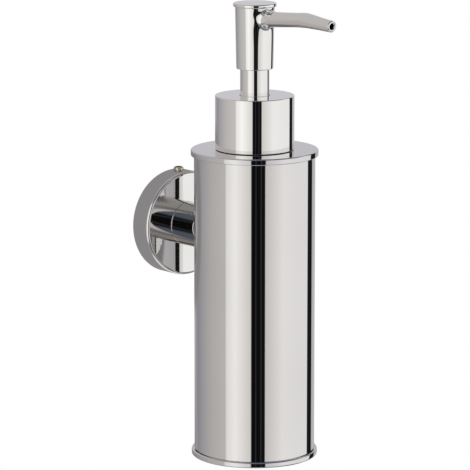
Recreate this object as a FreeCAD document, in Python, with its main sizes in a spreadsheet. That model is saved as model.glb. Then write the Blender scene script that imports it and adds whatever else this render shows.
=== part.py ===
import FreeCAD, Part
import math
import os
import re
import Sketcher
from FreeCAD import Placement, Rotation, Vector

# Wall mounted soap dispenser: a round canister on a short arm from a rosette, with a lotion pump on top.
# Millimetres. +Z up, the wall is the plane Y = 0, and the object stands out along -Y.
# The origin is the centre of the wall bracket's back face.

DIMENSIONS = (
    ("wall_reach", 53.0, "canister axis to wall"),
    ("rosette_radius", 22.1, "rosette outer radius"),
    ("rosette_depth", 10.0, "rosette depth from the wall"),
    ("rosette_wall", 2.7, "rosette rim thickness"),
    ("rosette_front", 2.0, "rosette front thickness"),
    ("rosette_round", 1.2, "rosette front edge radius"),
    ("bracket_gap", 0.6, "bracket rim to rosette rim"),
    ("bracket_depth", 6.4, "wall bracket thickness"),
    ("bracket_web", 2.4, "bracket web behind its centre recess"),
    ("bracket_recess_radius", 6.6, "recess for the arm screw head"),
    ("groove_offset", 3.5, "set screw height above the wall"),
    ("groove_depth", 1.5, "bracket V groove depth"),
    ("wall_hole_spacing", 26.0, "between the two wall screw holes"),
    ("wall_hole_radius", 2.25, "wall screw hole radius"),
    ("wall_sink_radius", 4.4, "wall screw countersink radius"),
    ("set_screw_radius", 2.1, "set screw radius"),
    ("set_screw_proud", 1.4, "set screw stand-out above the rim"),
    ("set_socket_width", 2.4, "set screw hexagon across flats"),
    ("set_socket_depth", 1.8, "set screw hexagon depth"),
    ("set_bevel", 0.3, "set screw end bevel"),
    ("thread_gap", 0.05, "radial gap between plain screw and plain hole"),
    ("arm_radius", 9.25, "support arm radius"),
    ("arm_bore_depth", 8.5, "depth of the arm's tapped holes"),
    ("arm_screw_radius", 3.0, "arm screw shank radius"),
    ("arm_screw_head", 5.0, "arm screw head radius"),
    ("arm_screw_height", 2.6, "arm screw head height"),
    ("arm_screw_reach", 7.5, "arm screw depth in the arm"),
    ("socket_width", 3.0, "hexagon of the arm screw and the canister screw, across flats"),
    ("washer_height", 0.6, "lock washer thickness"),
    ("washer_split", 0.8, "lock washer gap"),
    ("tube_radius", 25.0, "canister tube outer radius"),
    ("tube_wall", 0.8, "canister tube wall"),
    ("canister_top", 37.6, "top of the top cap"),
    ("canister_bottom", -91.3, "underside of the bottom cap"),
    ("top_flange_radius", 26.3, "top cap flange radius"),
    ("top_flange_height", 2.5, "top cap flange height"),
    ("top_hole_radius", 14.6, "top cap opening radius"),
    ("bottom_flange_radius", 26.2, "bottom cap flange radius"),
    ("bottom_flange_height", 2.4, "bottom cap flange height"),
    ("spigot_gap", 0.05, "cap spigot to tube"),
    ("spigot_wall", 1.2, "cap spigot wall"),
    ("spigot_height", 6.0, "cap spigot height"),
    ("flange_round", 0.6, "flange edge radius"),
    ("canister_screw_radius", 2.5, "canister screw shank radius"),
    ("canister_screw_head", 4.7, "canister screw head radius"),
    ("canister_screw_height", 2.2, "canister screw head height"),
    ("canister_screw_length", 10.0, "canister screw shank length"),
    ("saddle_radius", 6.0, "saddle washer radius"),
    ("saddle_face", 22.4, "saddle washer flat face from the canister axis"),
    ("bottle_radius", 22.6, "inner bottle radius"),
    ("bottle_flat", 19.8, "inner bottle flat from its axis"),
    ("bottle_wall", 1.0, "inner bottle wall"),
    ("bottle_shoulder", 34.6, "top of the inner bottle's shoulder"),
    ("bottle_round", 3.0, "inner bottle edge radius"),
    ("neck_core_radius", 12.5, "bottle neck radius under the thread"),
    ("neck_thread_radius", 13.6, "bottle neck thread radius"),
    ("neck_bore_radius", 10.4, "bottle neck bore radius"),
    ("neck_top", 54.0, "bottle neck rim"),
    ("neck_pitch", 3.2, "bottle thread pitch"),
    ("gasket_height", 1.0, "neck gasket thickness"),
    ("gasket_outer", 13.2, "neck gasket outer radius"),
    ("gasket_inner", 10.8, "neck gasket inner radius"),
    ("housing_flange", 1.6, "pump housing flange thickness"),
    ("housing_outer", 8.0, "pump cylinder outer radius"),
    ("housing_bore", 6.9, "pump cylinder bore radius"),
    ("housing_floor", 13.8, "height of the pump cylinder floor"),
    ("chamber_radius", 3.4, "ball chamber radius"),
    ("seat_height", 8.0, "height of the valve seat edge"),
    ("seat_radius", 1.5, "valve seat opening radius"),
    ("socket_outer", 4.8, "dip tube socket outer radius"),
    ("socket_bottom", -5.0, "underside of the dip tube socket"),
    ("socket_stop", 6.4, "end of the dip tube socket"),
    ("dip_radius", 3.5, "dip tube outer radius"),
    ("dip_wall", 0.9, "dip tube wall"),
    ("dip_bottom", -85.0, "lower end of the dip tube"),
    ("ball_radius", 2.4, "inlet ball radius"),
    ("ball_gap", 0.05, "inlet ball to its seat"),
    ("spring_seat_height", 2.0, "spring seat thickness"),
    ("spring_seat_bore", 1.8, "spring seat bore radius"),
    ("spring_seat_slot", 1.6, "spring seat slot width"),
    ("stem_radius", 3.3, "pump stem radius"),
    ("stem_bore", 1.6, "pump stem bore radius"),
    ("stem_foot", 40.0, "lower end of the pump stem"),
    ("stem_head", 87.6, "upper end of the pump stem"),
    ("stem_gap", 0.1, "pump stem running gap"),
    ("stem_collar_radius", 4.6, "pump stem stop collar radius"),
    ("stem_collar_height", 1.2, "pump stem foot collar thickness"),
    ("port_radius", 0.9, "pump stem side port radius"),
    ("seal_height", 4.0, "piston seal height"),
    ("seal_waist", 5.9, "piston seal waist radius"),
    ("spring_radius", 4.6, "spring mean radius"),
    ("spring_wire", 0.4, "spring wire radius"),
    ("spring_turns", 7.0, "spring turns"),
    ("guide_foot", 49.5, "lower end of the stem guide"),
    ("guide_flange_radius", 8.8, "stem guide flange radius"),
    ("guide_flange", 1.6, "stem guide flange thickness"),
    ("guide_radius", 5.5, "stem guide tube radius"),
    ("guide_relief", 4.2, "stem guide bore between its bearings"),
    ("guide_bearing", 4.0, "stem guide bearing length"),
    ("guide_top", 72.6, "top of the stem guide"),
    ("sleeve_radius", 6.0, "neck sleeve outer radius"),
    ("sleeve_wall", 0.4, "neck sleeve wall"),
    ("sleeve_foot_radius", 8.0, "neck sleeve foot radius"),
    ("closure_radius", 15.6, "screw closure outer radius"),
    ("closure_bore", 13.9, "screw closure bore radius"),
    ("closure_hole", 9.2, "screw closure top hole radius"),
    ("closure_foot", 38.4, "underside of the screw closure"),
    ("closure_top", 58.9, "top of the screw closure"),
    ("closure_seat", 56.7, "underside of the screw closure's top"),
    ("collar_radius", 16.3, "collar shell outer radius"),
    ("collar_wall", 0.6, "collar shell wall"),
    ("collar_foot", 37.8, "underside of the collar shell"),
    ("collar_top", 60.0, "top of the collar shell"),
    ("collar_top_wall", 0.8, "collar shell top thickness"),
    ("collar_hole", 6.3, "collar shell hole radius"),
    ("collar_round", 0.4, "collar shell edge radius"),
    ("head_foot", 71.0, "lower edge of the pump head"),
    ("head_top", 96.45, "top of the pump head under its cap"),
    ("head_foot_radius", 7.6, "pump head radius at its foot"),
    ("head_top_radius", 8.1, "pump head radius at its top"),
    ("head_skirt_bore", 6.35, "pump head skirt bore radius"),
    ("head_skirt_top", 84.0, "top of the pump head skirt bore"),
    ("head_channel", 1.6, "pump head channel radius"),
    ("head_recess_radius", 6.0, "recess for the head cap's plug"),
    ("head_recess_depth", 1.8, "depth of that recess"),
    ("cap_radius", 8.9, "head cap radius"),
    ("cap_height", 1.55, "head cap thickness"),
    ("cap_round", 0.5, "head cap edge radius"),
    ("spout_height", 91.0, "spout centre line at the pump axis"),
    ("spout_rise", 4.9, "spout rise in degrees"),
    ("spout_drop", 3.9, "spout drop in degrees"),
    ("spout_bend", 31.4, "pump axis to the spout's bend"),
    ("spout_tip", 47.3, "pump axis to the spout's tip"),
    ("spout_bend_round", 30.0, "spout bend radius along its centre line"),
    ("spout_root_radius", 3.4, "spout radius at the pump head"),
    ("spout_bend_radius", 2.9, "spout radius at the bend"),
    ("spout_tip_radius", 2.35, "spout radius at the tip"),
    ("spout_bore", 1.45, "spout bore radius"),
    ("spout_fillet", 1.2, "fillet between spout and pump head"),
    ("tip_round", 0.5, "spout tip edge radius"),
)

ALIASES = {alias for alias, value, note in DIMENSIONS}
TOLERANCE = 0.02
TO_ROOM = Vector(0, -1, 0)

doc = FreeCAD.newDocument("soap_dispenser")
sheet = doc.addObject("Spreadsheet::Sheet", "dims")


def fill_sheet():
    """Write every driving dimension to the sheet as a name, a plain number and a note."""
    for row, (alias, value, note) in enumerate(DIMENSIONS, start=1):
        sheet.set("A%d" % row, alias)
        sheet.set("B%d" % row, str(value))
        sheet.set("C%d" % row, note)
        sheet.setAlias("B%d" % row, alias)
    doc.recompute()


def size(alias):
    """The sheet's present value for a dimension."""
    return float(sheet.get(alias))


def bound(formula):
    """Point the words of a formula that are aliases at the sheet."""
    return re.sub("[a-z_]+", lambda word: "dims." + word[0] if word[0] in ALIASES else word[0], formula)


def new_body(label, on_pump_axis=True):
    """An empty body; those on the pump axis stand over the canister's centre."""
    body = doc.addObject("PartDesign::Body", label)
    body.Label = label
    if on_pump_axis:
        body.setExpression("Placement.Base.y", bound("0 - wall_reach"))
    return body


def new_sketch(body, name, role, shift=None):
    """A sketch on one of the body's origin planes, shifted along that plane's normal by a formula."""
    sketch = body.newObject("Sketcher::SketchObject", name)
    plane = [feature for feature in body.Origin.OriginFeatures if feature.Role == role][0]
    sketch.AttachmentSupport = [(plane, "")]
    sketch.MapMode = "FlatFace"
    if shift is not None:
        sketch.setExpression("AttachmentOffset.Base.z", bound(shift))
    return sketch


def hold(sketch, constraint, name, formula):
    """Add a constraint under a name and drive it by a formula."""
    index = sketch.addConstraint(constraint)
    sketch.renameConstraint(index, name)
    sketch.setExpression("Constraints." + name, bound(formula))


def hold_point(sketch, geometry, position, point):
    """Hold a sketch point at an (x, y) pair of formulas, measured from the sketch's origin."""
    for kind, formula in zip(("DistanceX", "DistanceY"), point):
        constraint = Sketcher.Constraint(kind, -1, 1, geometry, position, 0.0)
        hold(sketch, constraint, "%s_%d_%d" % (kind, geometry, position), formula)


def add_outline(sketch, points):
    """A closed polygon with each corner held at its own pair of formulas."""
    count = len(points)
    first = len(sketch.Geometry)
    corners = [
        Vector(math.cos(2 * math.pi * i / count), math.sin(2 * math.pi * i / count), 0)
        for i in range(count)
    ]
    sides = [Part.LineSegment(corners[i], corners[(i + 1) % count]) for i in range(count)]
    sketch.addGeometry(sides, False)
    for i in range(count):
        following = first + (i + 1) % count
        sketch.addConstraint(Sketcher.Constraint("Coincident", first + i, 2, following, 1))
    for i, point in enumerate(points):
        hold_point(sketch, first + i, 1, point)


def add_circle(sketch, radius, centre=("0", "0")):
    """A circle of a given radius formula about a pair of formulas."""
    index = len(sketch.Geometry)
    sketch.addGeometry(Part.Circle(Vector(0, 0, 0), Vector(0, 0, 1), 1.0), False)
    hold_point(sketch, index, 3, centre)
    hold(sketch, Sketcher.Constraint("Radius", index, 1.0), "Radius_%d" % index, radius)


def finish(body, feature):
    """Make a feature the body's tip and work the document out."""
    body.Tip = feature
    doc.recompute()
    return feature


def revolve(body, points, role="XZ_Plane", kind="PartDesign::Revolution", name="turned"):
    """Turn an outline of (radius, height) formulas about the sketch's vertical axis."""
    sketch = new_sketch(body, name + "_outline", role)
    add_outline(sketch, points)
    feature = body.newObject(kind, name)
    feature.Profile = sketch
    feature.ReferenceAxis = (sketch, ["V_Axis"])
    feature.Angle = 360
    return finish(body, feature)


def extrude(body, sketch, length, kind="PartDesign::Pad", name="pad", reverse=False, middle=False):
    """Pad or pocket a sketch by a length formula; a pocket must take material away."""
    before = body.Shape.Volume if kind == "PartDesign::Pocket" else None
    feature = body.newObject(kind, name)
    feature.Profile = sketch
    feature.setExpression("Length", bound(length))
    feature.Reversed = reverse
    feature.Midplane = middle
    finish(body, feature)
    if before is not None and body.Shape.Volume > before - 1e-3:
        raise RuntimeError("%s of %s removes nothing" % (name, body.Label))
    return feature


def cut(body, sketch, length, name, reverse=False, middle=False):
    """Pocket a sketch by a length formula."""
    return extrude(body, sketch, length, "PartDesign::Pocket", name, reverse, middle)


def circle_edges(shape, radius, height, direction=Vector(0, 0, 1)):
    """Names of the circular edges of a radius at a height along a direction."""
    names = []
    for index, edge in enumerate(shape.Edges, start=1):
        if not isinstance(edge.Curve, Part.Circle):
            continue
        level = edge.Curve.Center.dot(direction)
        if abs(edge.Curve.Radius - radius) < TOLERANCE and abs(level - height) < TOLERANCE:
            names.append("Edge%d" % index)
    return names


def level_edges(shape, height):
    """Names of the edges that lie flat at a height."""
    names = []
    for index, edge in enumerate(shape.Edges, start=1):
        box = edge.BoundBox
        if abs(box.ZMin - height) < TOLERANCE and abs(box.ZMax - height) < TOLERANCE:
            names.append("Edge%d" % index)
    return names


def fillet(body, edges, radius, name):
    """Round the named edges of the body's tip by a radius formula."""
    if not edges:
        raise RuntimeError("%s of %s finds no edge" % (name, body.Label))
    base = body.Tip
    feature = body.newObject("PartDesign::Fillet", name)
    feature.Base = (base, edges)
    feature.setExpression("Radius", bound(radius))
    return finish(body, feature)


def chamfer(body, edges, length, name):
    """Bevel the named edges of the body's tip by a length formula."""
    if not edges:
        raise RuntimeError("%s of %s finds no edge" % (name, body.Label))
    base = body.Tip
    feature = body.newObject("PartDesign::Chamfer", name)
    feature.Base = (base, edges)
    feature.setExpression("Size", bound(length))
    return finish(body, feature)


def add_hexagon(sketch, width):
    """A hexagon about the sketch's origin, a width formula across its flats."""
    flat = "(%s) / 2" % width
    corner = "(%s) / sqrt(3)" % width
    middle = "(%s) / sqrt(12)" % width
    add_outline(sketch, (
        (flat, "0 - " + middle),
        (flat, middle),
        ("0", corner),
        ("0 - " + flat, middle),
        ("0 - " + flat, "0 - " + middle),
        ("0", "0 - " + corner),
    ))


def ring_profile(inner, outer, low, high):
    """Outline of a plain ring between two radii and two heights."""
    return (inner, low), (outer, low), (outer, high), (inner, high)


def make_wall_bracket():
    """Disc screwed to the wall, with a V groove round its edge for the rosette's set screw."""
    body = new_body("wall_bracket", on_pump_axis=False)
    rim = "rosette_radius - rosette_wall - bracket_gap"
    revolve(body, (
        ("0", "0"),
        (rim, "0"),
        (rim, "groove_depth - groove_offset"),
        (rim + " - groove_depth", "0 - groove_offset"),
        (rim, "0 - groove_offset - groove_depth"),
        (rim, "0 - bracket_depth"),
        ("bracket_recess_radius", "0 - bracket_depth"),
        ("bracket_recess_radius", "0 - bracket_web"),
        ("0", "0 - bracket_web"),
    ), "XY_Plane")
    holes = new_sketch(body, "wall_holes", "XZ_Plane")
    for side in ("wall_hole_spacing / 2", "0 - wall_hole_spacing / 2"):
        add_circle(holes, "wall_hole_radius", (side, "0"))
    cut(body, holes, "bracket_depth", "hole_pair", reverse=True)
    edges = circle_edges(body.Tip.Shape, size("wall_hole_radius"), size("bracket_depth"), TO_ROOM)
    chamfer(body, edges, "wall_sink_radius - wall_hole_radius", "countersinks")


def make_rosette():
    """Chrome cup that covers the bracket, with a tapped hole in its rim and one in its front."""
    body = new_body("rosette", on_pump_axis=False)
    cavity = "rosette_radius - rosette_wall"
    revolve(body, (
        (cavity, "0"),
        ("rosette_radius", "0"),
        ("rosette_radius", "0 - rosette_depth"),
        ("arm_screw_radius + thread_gap", "0 - rosette_depth"),
        ("arm_screw_radius + thread_gap", "rosette_front - rosette_depth"),
        (cavity, "rosette_front - rosette_depth"),
    ), "XY_Plane")
    rim = new_sketch(body, "rim_hole", "XY_Plane")
    add_circle(rim, "set_screw_radius + thread_gap", ("0", "0 - groove_offset"))
    cut(body, rim, "rosette_radius", "rim_tapping", reverse=True)
    edges = circle_edges(body.Tip.Shape, size("rosette_radius"), size("rosette_depth"), TO_ROOM)
    fillet(body, edges, "rosette_round", "front_edge")


def make_set_screw():
    """Headless screw in the rosette's rim; its cone sits in the bracket's groove."""
    body = new_body("rosette_set_screw", on_pump_axis=False)
    body.setExpression("Placement.Base.y", bound("0 - groove_offset"))
    tip = "rosette_radius - rosette_wall - bracket_gap - groove_depth + thread_gap * 3"
    top = "rosette_radius + set_screw_proud"
    revolve(body, (
        ("0", tip),
        ("set_screw_radius", tip + " + set_screw_radius"),
        ("set_screw_radius", top),
        ("0", top),
    ))
    socket = new_sketch(body, "socket_outline", "XY_Plane", top)
    add_hexagon(socket, "set_socket_width")
    cut(body, socket, "set_socket_depth", "socket")
    height = size("rosette_radius") + size("set_screw_proud")
    edges = circle_edges(body.Tip.Shape, size("set_screw_radius"), height)
    chamfer(body, edges, "set_bevel", "top_edge")


def make_support_arm():
    """Round bar from the rosette, hollowed at its end to sit on the canister tube."""
    body = new_body("support_arm", on_pump_axis=False)
    section = new_sketch(body, "section", "XZ_Plane", "rosette_depth")
    add_circle(section, "arm_radius")
    extrude(body, section, "wall_reach - rosette_depth", name="bar")
    saddle = new_sketch(body, "saddle_outline", "XY_Plane")
    add_circle(saddle, "tube_radius", ("0", "0 - wall_reach"))
    cut(body, saddle, "arm_radius * 4", "saddle", middle=True)
    back = new_sketch(body, "back_hole", "XZ_Plane", "rosette_depth")
    add_circle(back, "arm_screw_radius + thread_gap")
    cut(body, back, "arm_bore_depth", "back_tapping", reverse=True)
    front = new_sketch(body, "front_hole", "XZ_Plane", "wall_reach - tube_radius - arm_bore_depth")
    add_circle(front, "canister_screw_radius + thread_gap")
    cut(body, front, "wall_reach", "front_tapping", reverse=True)


def make_arm_screw():
    """Pan head screw from inside the rosette into the arm."""
    body = new_body("arm_screw", on_pump_axis=False)
    under_head = "rosette_front - rosette_depth + washer_height"
    revolve(body, (
        ("0", "0 - rosette_depth - arm_screw_reach"),
        ("arm_screw_radius", "0 - rosette_depth - arm_screw_reach"),
        ("arm_screw_radius", under_head),
        ("arm_screw_head", under_head),
        ("arm_screw_head", under_head + " + arm_screw_height"),
        ("0", under_head + " + arm_screw_height"),
    ), "XY_Plane")
    head_face = "rosette_depth - rosette_front - washer_height - arm_screw_height"
    socket = new_sketch(body, "socket_outline", "XZ_Plane", head_face)
    add_hexagon(socket, "socket_width")
    cut(body, socket, "arm_screw_height / 2", "socket", reverse=True)


def make_lock_washer():
    """Split spring washer under the arm screw's head."""
    body = new_body("arm_lock_washer", on_pump_axis=False)
    seat = "rosette_front - rosette_depth"
    bore = "arm_screw_radius + thread_gap * 2"
    profile = ring_profile(bore, "arm_screw_head", seat, seat + " + washer_height")
    revolve(body, profile, "XY_Plane")
    split = new_sketch(body, "split_outline", "XY_Plane")
    add_outline(split, (
        ("0 - washer_split / 2", "0 - rosette_depth"),
        ("washer_split / 2", "0 - rosette_depth"),
        ("washer_split / 2", "0"),
        ("0 - washer_split / 2", "0"),
    ))
    cut(body, split, "arm_screw_head * 2", "split", reverse=True)


def make_canister_tube():
    """Thin tube with one hole for the screw that holds it to the arm."""
    body = new_body("canister_tube")
    length = "canister_top - top_flange_height - canister_bottom - bottom_flange_height"
    section = new_sketch(body, "section", "XY_Plane", "canister_bottom + bottom_flange_height")
    add_circle(section, "tube_radius")
    add_circle(section, "tube_radius - tube_wall")
    extrude(body, section, length, name="tube")
    hole = new_sketch(body, "screw_hole_outline", "XZ_Plane")
    add_circle(hole, "canister_screw_radius + thread_gap")
    cut(body, hole, "tube_radius * 2", "screw_hole")


def make_canister_screw():
    """Button head screw from inside the tube into the arm."""
    body = new_body("canister_screw")
    revolve(body, (
        ("0", "saddle_face - canister_screw_height"),
        ("canister_screw_head", "saddle_face - canister_screw_height"),
        ("canister_screw_head", "saddle_face"),
        ("canister_screw_radius", "saddle_face"),
        ("canister_screw_radius", "saddle_face + canister_screw_length"),
        ("0", "saddle_face + canister_screw_length"),
    ), "XY_Plane")
    socket = new_sketch(body, "socket_outline", "XZ_Plane", "canister_screw_height - saddle_face")
    add_hexagon(socket, "socket_width")
    cut(body, socket, "canister_screw_height / 2", "socket")
    head_face = size("canister_screw_height") - size("saddle_face")
    edges = circle_edges(body.Tip.Shape, size("canister_screw_head"), head_face, TO_ROOM)
    fillet(body, edges, "canister_screw_height / 2", "dome")


def make_saddle_washer():
    """Washer flat towards the screw head and curved towards the tube."""
    body = new_body("saddle_washer")
    section = new_sketch(body, "section", "XZ_Plane", "0 - tube_radius")
    add_circle(section, "saddle_radius")
    add_circle(section, "canister_screw_radius + thread_gap")
    extrude(body, section, "tube_radius - saddle_face", name="disc")
    outside = new_sketch(body, "tube_outline", "XY_Plane")
    add_circle(outside, "tube_radius * 2")
    add_circle(outside, "tube_radius - tube_wall - spigot_gap")
    cut(body, outside, "saddle_radius * 4", "curved_back", middle=True)


def make_top_cap():
    """Flanged ring in the top of the tube, round the bottle's neck."""
    body = new_body("top_cap")
    under = "canister_top - top_flange_height"
    spigot = "tube_radius - tube_wall - spigot_gap"
    revolve(body, (
        ("top_hole_radius", "canister_top"),
        ("top_flange_radius", "canister_top"),
        ("top_flange_radius", under),
        (spigot, under),
        (spigot, under + " - spigot_height"),
        (spigot + " - spigot_wall", under + " - spigot_height"),
        (spigot + " - spigot_wall", under),
        ("top_hole_radius", under),
    ))
    edges = circle_edges(body.Tip.Shape, size("top_flange_radius"), size("canister_top"))
    fillet(body, edges, "flange_round", "flange_edge")


def make_bottom_cap():
    """Flanged cup in the foot of the tube; the bottle stands on it."""
    body = new_body("bottom_cap")
    floor = "canister_bottom + bottom_flange_height"
    spigot = "tube_radius - tube_wall - spigot_gap"
    revolve(body, (
        ("0", "canister_bottom"),
        ("bottom_flange_radius", "canister_bottom"),
        ("bottom_flange_radius", floor),
        (spigot, floor),
        (spigot, floor + " + spigot_height"),
        (spigot + " - spigot_wall", floor + " + spigot_height"),
        (spigot + " - spigot_wall", floor),
        ("0", floor),
    ))
    edges = circle_edges(body.Tip.Shape, size("bottom_flange_radius"), size("canister_bottom"))
    upper = size("canister_bottom") + size("bottom_flange_height")
    edges += circle_edges(body.Tip.Shape, size("bottom_flange_radius"), upper)
    fillet(body, edges, "flange_round", "flange_edges")


def add_flat_circle(sketch, radius, flat):
    """A circle cut off straight: a radius formula, and a distance formula up the sketch's vertical."""
    first_radius, first_flat = 10.0, 8.0
    half_angle = math.acos(first_flat / first_radius)
    side = first_radius * math.sin(half_angle)
    circle = Part.Circle(Vector(0, 0, 0), Vector(0, 0, 1), first_radius)
    arc = Part.ArcOfCircle(circle, math.pi / 2 + half_angle, math.pi * 5 / 2 - half_angle)
    chord = Part.LineSegment(Vector(side, first_flat, 0), Vector(-side, first_flat, 0))
    sketch.addGeometry([arc, chord], False)
    sketch.addConstraint(Sketcher.Constraint("Coincident", 0, 2, 1, 1))
    sketch.addConstraint(Sketcher.Constraint("Coincident", 0, 1, 1, 2))
    sketch.addConstraint(Sketcher.Constraint("Horizontal", 1))
    hold_point(sketch, 0, 3, ("0", "0"))
    hold(sketch, Sketcher.Constraint("Radius", 0, first_radius), "round_radius", radius)
    hold(sketch, Sketcher.Constraint("DistanceY", -1, 1, 1, 1, first_flat), "flat_distance", flat)


def make_inner_bottle():
    """Plastic bottle with a flat that clears the canister screw and a threaded neck."""
    body = new_body("inner_bottle")
    base = "canister_bottom + bottom_flange_height"
    height = "bottle_shoulder - canister_bottom - bottom_flange_height"
    outside = new_sketch(body, "outside_section", "XY_Plane", base)
    add_flat_circle(outside, "bottle_radius", "bottle_flat")
    extrude(body, outside, height, name="shell")
    top_edges = level_edges(body.Tip.Shape, size("bottle_shoulder"))
    fillet(body, top_edges, "bottle_round", "shoulder_edge")
    inside = new_sketch(body, "inside_section", "XY_Plane", base + " + bottle_wall")
    add_flat_circle(inside, "bottle_radius - bottle_wall", "bottle_flat - bottle_wall")
    cut(body, inside, height + " - bottle_wall * 2 - bottle_round / 3", "soap_space", reverse=True)
    profile = [
        ("neck_bore_radius", "bottle_shoulder - bottle_wall / 2"),
        ("neck_bore_radius", "neck_top"),
        ("neck_core_radius", "neck_top"),
    ]
    for turn in range(1, 4):
        crest = "neck_top - neck_pitch * %d" % turn
        profile.append(("neck_core_radius", crest + " + neck_pitch / 3"))
        profile.append(("neck_thread_radius", crest + " + neck_pitch / 8"))
        profile.append(("neck_thread_radius", crest + " - neck_pitch / 8"))
        profile.append(("neck_core_radius", crest + " - neck_pitch / 3"))
    profile.append(("neck_core_radius", "bottle_shoulder - bottle_wall / 2"))
    revolve(body, profile, name="neck")
    bore = new_sketch(body, "neck_bore_outline", "XY_Plane", "neck_top")
    add_circle(bore, "neck_bore_radius")
    cut(body, bore, "neck_top - bottle_shoulder + bottle_wall * 4", "neck_bore")


def make_neck_gasket():
    """Soft ring between the bottle's rim and the pump housing."""
    body = new_body("neck_gasket")
    revolve(body, ring_profile("gasket_inner", "gasket_outer", "neck_top", "neck_top + gasket_height"))


def make_pump_housing():
    """Pump cylinder with a flange, a valve seat at its floor and a socket for the dip tube."""
    body = new_body("pump_housing")
    flange = "neck_top + gasket_height"
    revolve(body, (
        ("housing_bore", flange + " + housing_flange"),
        ("gasket_outer", flange + " + housing_flange"),
        ("gasket_outer", flange),
        ("housing_outer", flange),
        ("housing_outer", "housing_floor - spring_seat_height"),
        ("socket_outer", "seat_height - spring_seat_height / 2"),
        ("socket_outer", "socket_bottom"),
        ("dip_radius + thread_gap", "socket_bottom"),
        ("dip_radius + thread_gap", "socket_stop"),
        ("seat_radius", "socket_stop"),
        ("seat_radius", "seat_height"),
        ("chamber_radius", "seat_height + chamber_radius - seat_radius"),
        ("chamber_radius", "housing_floor"),
        ("housing_bore", "housing_floor"),
    ))


def make_dip_tube():
    """Tube from the pump housing to the foot of the bottle, cut at a slant."""
    body = new_body("dip_tube")
    section = new_sketch(body, "section", "XY_Plane", "dip_bottom")
    add_circle(section, "dip_radius")
    add_circle(section, "dip_radius - dip_wall")
    extrude(body, section, "socket_stop - thread_gap * 4 - dip_bottom", name="tube")
    slant = new_sketch(body, "slant_outline", "XZ_Plane")
    add_outline(slant, (
        ("0 - dip_radius * 2", "dip_bottom - dip_radius"),
        ("dip_radius * 2", "dip_bottom - dip_radius"),
        ("dip_radius * 2", "dip_bottom + dip_radius * 1.5"),
    ))
    cut(body, slant, "dip_radius * 4", "slant_cut", middle=True)


def make_spring_seat():
    """Slotted disc over the ball chamber: it keeps the ball in and carries the spring."""
    body = new_body("spring_seat")
    rim = "housing_bore - thread_gap"
    top = "housing_floor + spring_seat_height"
    revolve(body, ring_profile("spring_seat_bore", rim, "housing_floor", top))
    slot = new_sketch(body, "slot_outline", "XY_Plane", "housing_floor")
    add_outline(slot, (
        ("0 - spring_seat_slot / 2", "spring_seat_bore / 2"),
        ("spring_seat_slot / 2", "spring_seat_bore / 2"),
        ("spring_seat_slot / 2", "chamber_radius"),
        ("0 - spring_seat_slot / 2", "chamber_radius"),
    ))
    first = cut(body, slot, "spring_seat_height", "slot", reverse=True)
    pattern = body.newObject("PartDesign::PolarPattern", "slots")
    pattern.Originals = [first]
    pattern.Axis = (slot, ["N_Axis"])
    pattern.Angle = 360
    pattern.Occurrences = 4
    finish(body, pattern)


def make_inlet_ball():
    """Ball that closes the valve seat; it rests a hair above the cone."""
    ball = doc.addObject("Part::Sphere", "inlet_ball")
    ball.Label = "inlet_ball"
    ball.setExpression("Radius", bound("ball_radius"))
    ball.setExpression("Placement.Base.y", bound("0 - wall_reach"))
    rest = "seat_height - seat_radius + (ball_radius + ball_gap) * sqrt(2)"
    ball.setExpression("Placement.Base.z", bound(rest))
    doc.recompute()


def make_stem_guide():
    """Plug in the pump housing with a tall tube that guides the stem and carries the neck sleeve."""
    body = new_body("stem_guide")
    flange = "neck_top + gasket_height + housing_flange"
    bearing = "stem_radius + stem_gap"
    revolve(body, (
        (bearing, "guide_foot"),
        ("housing_bore - thread_gap", "guide_foot"),
        ("housing_bore - thread_gap", flange),
        ("guide_flange_radius", flange),
        ("guide_flange_radius", flange + " + guide_flange"),
        ("guide_radius", flange + " + guide_flange"),
        ("guide_radius", "guide_top"),
        (bearing, "guide_top"),
        (bearing, "guide_top - guide_bearing"),
        ("guide_relief", "guide_top - guide_bearing"),
        ("guide_relief", "guide_foot + guide_bearing"),
        (bearing, "guide_foot + guide_bearing"),
    ))


def make_neck_sleeve():
    """Chrome sleeve over the stem guide, with a small foot under the collar's top."""
    body = new_body("neck_sleeve")
    foot = "neck_top + gasket_height + housing_flange + guide_flange + thread_gap"
    inside = "sleeve_radius - sleeve_wall"
    revolve(body, (
        (inside, foot),
        ("sleeve_foot_radius", foot),
        ("sleeve_foot_radius", foot + " + sleeve_wall"),
        ("sleeve_radius", foot + " + sleeve_wall"),
        ("sleeve_radius", "guide_top + sleeve_wall"),
        (inside, "guide_top + sleeve_wall"),
    ))


def make_screw_closure():
    """Plastic screw cap that holds the pump on the bottle's neck."""
    body = new_body("screw_closure")
    revolve(body, (
        ("closure_bore", "closure_foot"),
        ("closure_radius", "closure_foot"),
        ("closure_radius", "closure_top"),
        ("closure_hole", "closure_top"),
        ("closure_hole", "closure_seat"),
        ("closure_bore", "closure_seat"),
    ))


def make_collar_shell():
    """Chrome shell over the screw closure."""
    body = new_body("collar_shell")
    revolve(body, (
        ("collar_radius - collar_wall", "collar_foot"),
        ("collar_radius", "collar_foot"),
        ("collar_radius", "collar_top"),
        ("collar_hole", "collar_top"),
        ("collar_hole", "collar_top - collar_top_wall"),
        ("collar_radius - collar_wall", "collar_top - collar_top_wall"),
    ))
    edges = circle_edges(body.Tip.Shape, size("collar_radius"), size("collar_top"))
    fillet(body, edges, "collar_round", "top_edge")


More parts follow.
